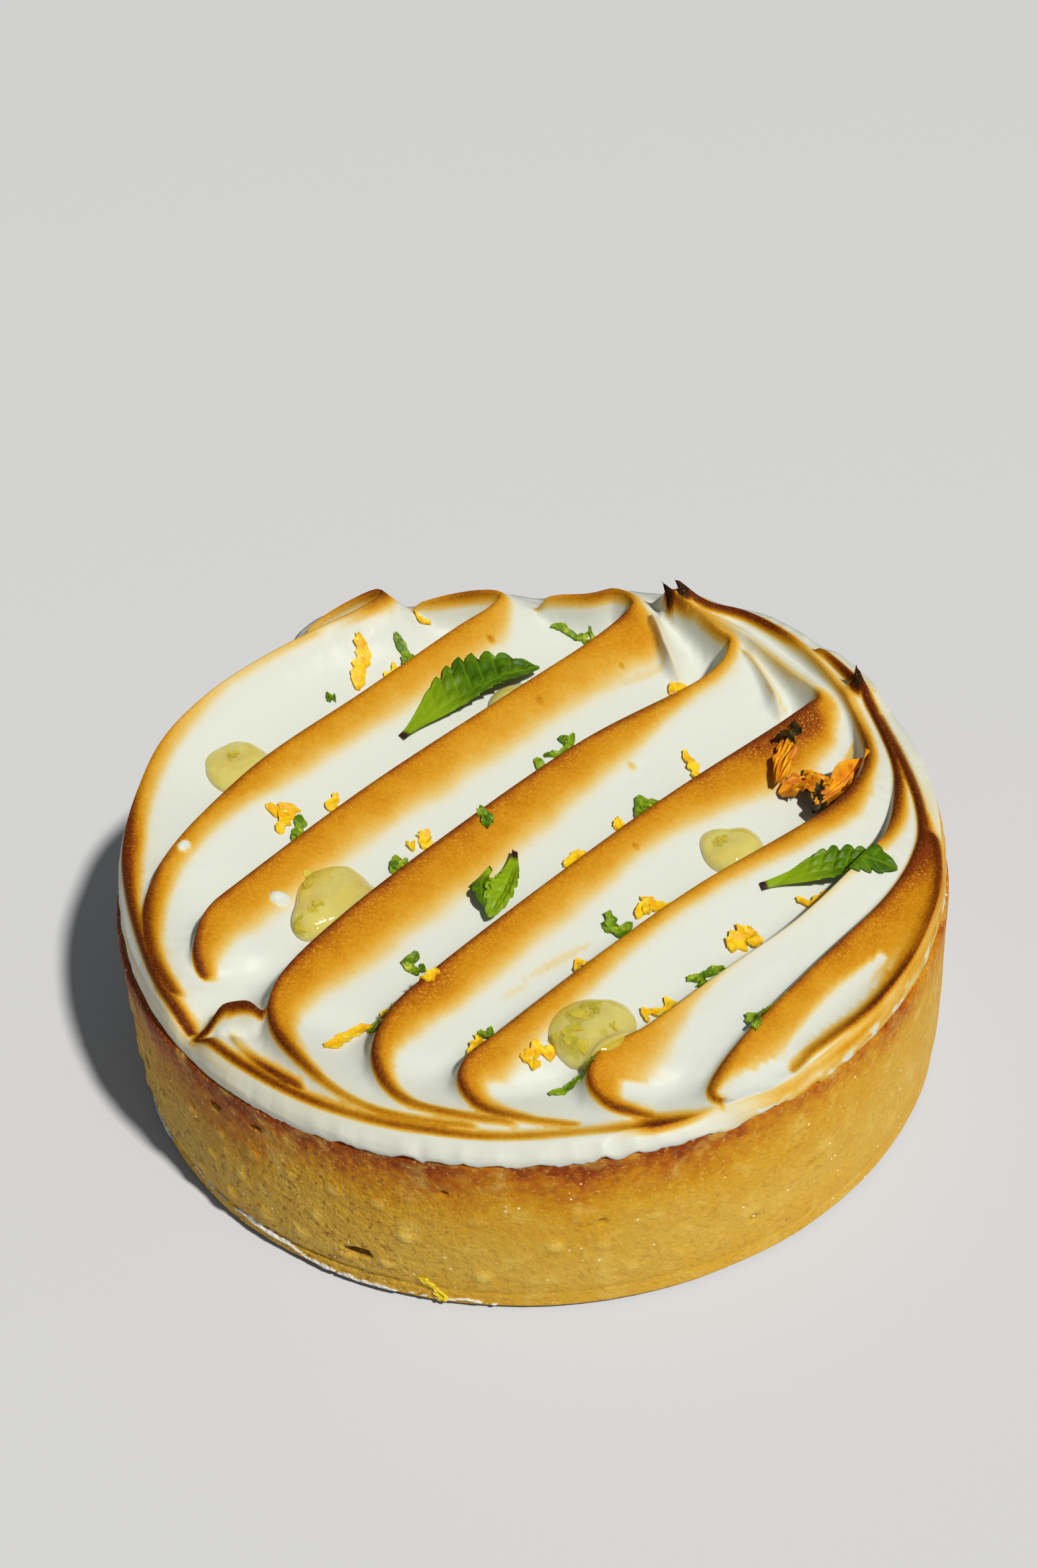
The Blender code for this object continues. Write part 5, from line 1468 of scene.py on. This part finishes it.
# %% Shape of the leaves
# Stem end, middle and tip of the midrib (x, y, height over the meringue), half widths, fold, teeth,
# and how far the colour runs from young green at the stem to deep green at the tip
LEAVES = {
    "mint_leaf_1": [((-12.6, 15.4, 0.3), (-6.4, 22.4, 1.7), (2.4, 26.6, 0.9), 4.7, 1.9, 22.0, 11, 1.0)],
    "mint_leaf_2": [((-1.4, -5.0, 1.7), (-1.9, -9.2, 1.2), (-4.4, -13.2, 0.5), 1.5, 1.6, 38.0, 8, 0.35),
                    ((-3.9, -6.8, 0.7), (-5.4, -9.0, 1.0), (-4.6, -12.2, 0.6), 1.0, 1.0, 30.0, 5, 1.3)],
    "mint_leaf_3": [((22.2, -13.2, 0.9), (29.6, -10.4, 1.9), (35.7, -11.4, 0.6), 2.6, 1.6, 26.0, 10, 1.0)],
}
BLADE_LENGTHS = 96
BLADE_WIDTHS = 16
BLADE_THICKNESS = 0.16


def leaf_outline(t):
    """Share of the full width along a mint leaf: a long narrow foot, widest past the middle."""
    return max(0.05, math.sin(math.pi * min(1.0, 0.03 + 0.965 * t ** 1.75))) ** 0.75


def leaf_relief(t, across, half, teeth, depth):
    """Tooth, vein and swelling of the skin at a place on the leaf."""
    along_vein = t * teeth - 0.9 * abs(across)
    phase = along_vein - math.floor(along_vein)
    toothed = float(smoothstep(0.6, 1.0, abs(across)) * smoothstep(0.25, 0.55, t))
    chance = 1.0 + 1.3 * noise.noise(Vector((1.7 * math.floor(along_vein), 5.0 * (across > 0), 0.3)))
    tooth = 1.0 - depth * chance * (1.0 - phase) ** 2 * toothed
    middle = math.exp(-(abs(across) * half / 0.14) ** 2)
    vein = math.exp(-(min(phase, 1.0 - phase) / 0.10) ** 2) * min(1.0, abs(across) * 5) * 0.8
    between = math.sin(math.pi * phase) * abs(math.sin(math.pi * (2.2 * abs(across) + 0.15)))
    grown = float(smoothstep(0.15, 0.55, t)) * min(1.0, (half / 2.4) ** 2)
    return tooth, max(middle, vein), 0.36 * between * grown


def blade_grid(spec, seed, outline, relief):
    """Places and masks of one leaf or petal before it has thickness, from its outline and relief."""
    start, middle, tip, left, right, fold, teeth, age = spec
    start, middle, tip = (np.array(v, dtype=float) for v in (start, middle, tip))
    phase = random.Random(seed).uniform(0.0, math.tau)
    lift = math.tan(math.radians(fold))
    base = ground.height(*(0.25 * start + 0.5 * middle + 0.25 * tip)[:2], 0.4)
    rows = []
    for k in range(BLADE_LENGTHS + 1):
        t = k / BLADE_LENGTHS
        centre = (1 - t) ** 2 * start + 2 * t * (1 - t) * middle + t * t * tip
        heading = ((1 - t) * (middle - start) + t * (tip - middle))[:2]
        normal = np.array((-heading[1], heading[0])) / np.linalg.norm(heading)
        row = []
        for j in range(-BLADE_WIDTHS, BLADE_WIDTHS + 1):
            across = j / BLADE_WIDTHS
            half = (left if across > 0 else right) * outline(t)
            tooth, vein, swell = relief(t, across, half, teeth, seed)
            out = across * half * tooth
            wave = 0.28 * abs(across) * math.sin(phase + 2.6 * math.pi * t + across)
            spot = centre[:2] + normal * out
            level = base + centre[2] + lift * abs(out) * 0.6 + wave + swell
            row.append((spot[0], spot[1], level, vein, abs(across), t * age))
        rows.append(row)
    return rows


def blade_solid(rows, points, triangles, masks):
    """Adds both faces and the edge of one blade to the lists."""
    first = len(points)
    for thick in (0.0, BLADE_THICKNESS):
        for row in rows:
            for x, y, level, vein, edge, along in row:
                z = max(level, ground.height(x, y, 0.25) + 0.12)
                thin = 0.35 + 0.65 * (1.0 - edge ** 3)
                points.append((x, y, z + thick * thin))
                masks["vein"].append(vein)
                masks["along"].append(along)
    triangles += sheet_faces(first, len(rows), len(rows[0]))


def blade_piece(name, node, specs, outline, relief, sharp=None):
    points, triangles, masks = [], [], {"vein": [], "along": []}
    for number, spec in enumerate(specs):
        blade_solid(blade_grid(spec, len(node) + number, outline, relief), points, triangles, masks)
    piece = mesh_piece(name, points, triangles, masks, sharp)
    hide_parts(node)
    return piece


def mint_relief(t, across, half, teeth, seed):
    """A mint leaf that has wilted a little, so its blade is crumpled between the veins."""
    tooth, vein, swell = leaf_relief(t, across, half, teeth, 0.26)
    crumple = noise.noise(Vector((t * 7.0, across * half * 0.9, seed)))
    wilted = 0.45 * crumple * float(smoothstep(0.2, 0.6, t)) * min(1.0, half / 3.0)
    return tooth, vein, 1.25 * swell + wilted


leaves = [blade_piece(node.replace("leaf", "blade"), node, specs, leaf_outline, mint_relief)
          for node, specs in LEAVES.items()]
print(len(leaves), "leaves of", sum(len(leaf.data.polygons) for leaf in leaves), "triangles")


# %% [markdown]
# ## Mint green
# The leaf is young and yellow green at its foot and deep green at its tip, with lighter veins and a stem
# that has gone dark. The masks stored with the shape say where each of these is, so no picture of a leaf
# is needed.

# %% Finish of the leaves
def mint_green():
    material, tree, shader = start_finish("mint_green", (0.07, 0.19, 0.01), 0.4)
    along = mask_from_mesh(tree, "along")
    deep = use_group(tree, COLOUR_PATCHES, Scale=420.0, Low=0.35, High=0.65, First=(0.036, 0.100, 0.001),
                     Second=(0.080, 0.175, 0.001))["Colour"]
    young = mix_colour(tree, smooth_range(tree, along, 0.20, 0.62), (0.23, 0.36, 0.006), deep)
    vein = smooth_range(tree, mask_from_mesh(tree, "vein"), 0.1, 1.0, 0.0, 0.35)
    veined = mix_colour(tree, vein, young, (0.26, 0.38, 0.015))
    stem = smooth_range(tree, along, 0.06, 0.025)
    put(tree, shader.inputs["Base Color"], mix_colour(tree, stem, veined, (0.035, 0.012, 0.006)))
    put(tree, shader.inputs["Normal"], rough_skin(tree, [(2800.0, 0.35, 0.00012)]))
    shader.inputs["Specular IOR Level"].default_value = 0.15
    let_light_in(shader, 0.12, (0.4, 1.0, 0.1), 0.0006)
    return material


leaf_finish = mint_green()
for leaf in leaves:
    leaf.data.materials.append(leaf_finish)
print("mint green of", len(leaf_finish.node_tree.nodes), "nodes")

# %% [markdown]
# ## Dried petals
# The petals are dried marigold: narrow orange ribbons that curl as they dry, with dark scraps of the
# flower's green base. They use the same blade as the leaves, without teeth, and the streaks along each
# petal are in its colour.

# %% Shape of the petals
PETALS = {
    "dried_petal_small": [((27.9, 8.6, 1.5), (26.9, 5.4, 1.2), (25.7, 1.9, 0.3), 1.1, 1.1, 15.0, 0, 1.5),
                          ((28.9, 7.4, 1.5), (27.6, 7.6, 1.7), (26.2, 7.0, 1.0), 0.6, 0.6, 15.0, 0, 0.2)],
    "dried_petal_large": [((30.2, 1.6, 1.2), (28.4, 3.0, 1.6), (25.9, 1.8, 0.7), 1.7, 1.4, 20.0, 0, 1.8),
                          ((28.9, -1.4, 0.5), (31.4, 0.6, 1.6), (35.4, 5.4, 1.5), 1.3, 1.3, 25.0, 0, 2.2),
                          ((29.2, 3.6, 1.2), (30.4, 1.4, 2.0), (30.4, -1.6, 0.7), 1.7, 1.7, 18.0, 0, 0.25),
                          ((28.3, 3.9, 1.0), (29.6, 3.4, 1.9), (31.2, 1.8, 1.5), 0.9, 0.9, 18.0, 0, 2.0)],
}


def petal_outline(t):
    return max(0.10, math.sin(math.pi * (0.06 + 0.9 * t ** 0.9))) ** 0.6


def petal_relief(t, across, half, teeth, seed):
    """Torn edge, streak and sharp creases of a dried petal."""
    torn = 1.0 + 0.45 * noise.noise(Vector((t * 5.0, across, seed * 3.1))) * abs(across)
    streak = 0.5 + 0.5 * noise.noise(Vector((t * 1.5, across * 4.0, seed * 1.3)))
    fold = abs(noise.noise(Vector((t * 2.6 + 0.7 * across, across * 1.4, seed * 2.7))))
    return torn, streak, 1.3 * fold


petals = [blade_piece(node.replace("dried_petal", "petal_cluster"), node, specs, petal_outline,
                      petal_relief, 32.0) for node, specs in PETALS.items()]
print(len(petals), "clusters of petals")


# %% [markdown]
# ## Dried orange
# Dried petals are matt, glow a little where the light comes through, and have streaks along them. Their
# dark base could be a piece of its own, but it is only a scrap, so the mask that runs along the petal
# colours it.

# %% Finish of the petals
def dried_orange():
    material, tree, shader = start_finish("dried_orange", (0.75, 0.28, 0.02), 0.55)
    shader.inputs["Specular IOR Level"].default_value = 0.25
    colour = use_group(tree, COLOUR_PATCHES, Scale=500.0, Low=0.35, High=0.65, First=(0.58, 0.15, 0.002),
                       Second=(0.88, 0.38, 0.004))["Colour"]
    streak = smooth_range(tree, mask_from_mesh(tree, "vein"), 0.55, 0.85, 0.0, 0.6)
    colour = mix_colour(tree, streak, colour, (0.95, 0.58, 0.03))
    near_base = smooth_range(tree, mask_from_mesh(tree, "along"), 0.55, 0.10)
    ragged = smooth_range(tree, food_noise(tree, 700.0, 3.0), 0.3, 0.7, -0.5, 0.4)
    scrap = math_node(tree, "ADD", near_base, ragged)
    black = use_group(tree, COLOUR_PATCHES, Scale=800.0, Low=0.45, High=0.60, First=(0.020, 0.010, 0.003),
                      Second=(0.050, 0.045, 0.008))["Colour"]
    colour = mix_colour(tree, smooth_range(tree, scrap, 0.42, 0.58), colour, black)
    put(tree, shader.inputs["Base Color"], colour)
    put(tree, shader.inputs["Normal"], rough_skin(tree, [(2500.0, 0.6, 0.0003)]))
    let_light_in(shader, 0.15, (1.0, 0.4, 0.05), 0.0005)
    return material


petal_finish = dried_orange()
for petal in petals:
    petal.data.materials.append(petal_finish)
print("dried orange of", len(petal_finish.node_tree.nodes), "nodes")
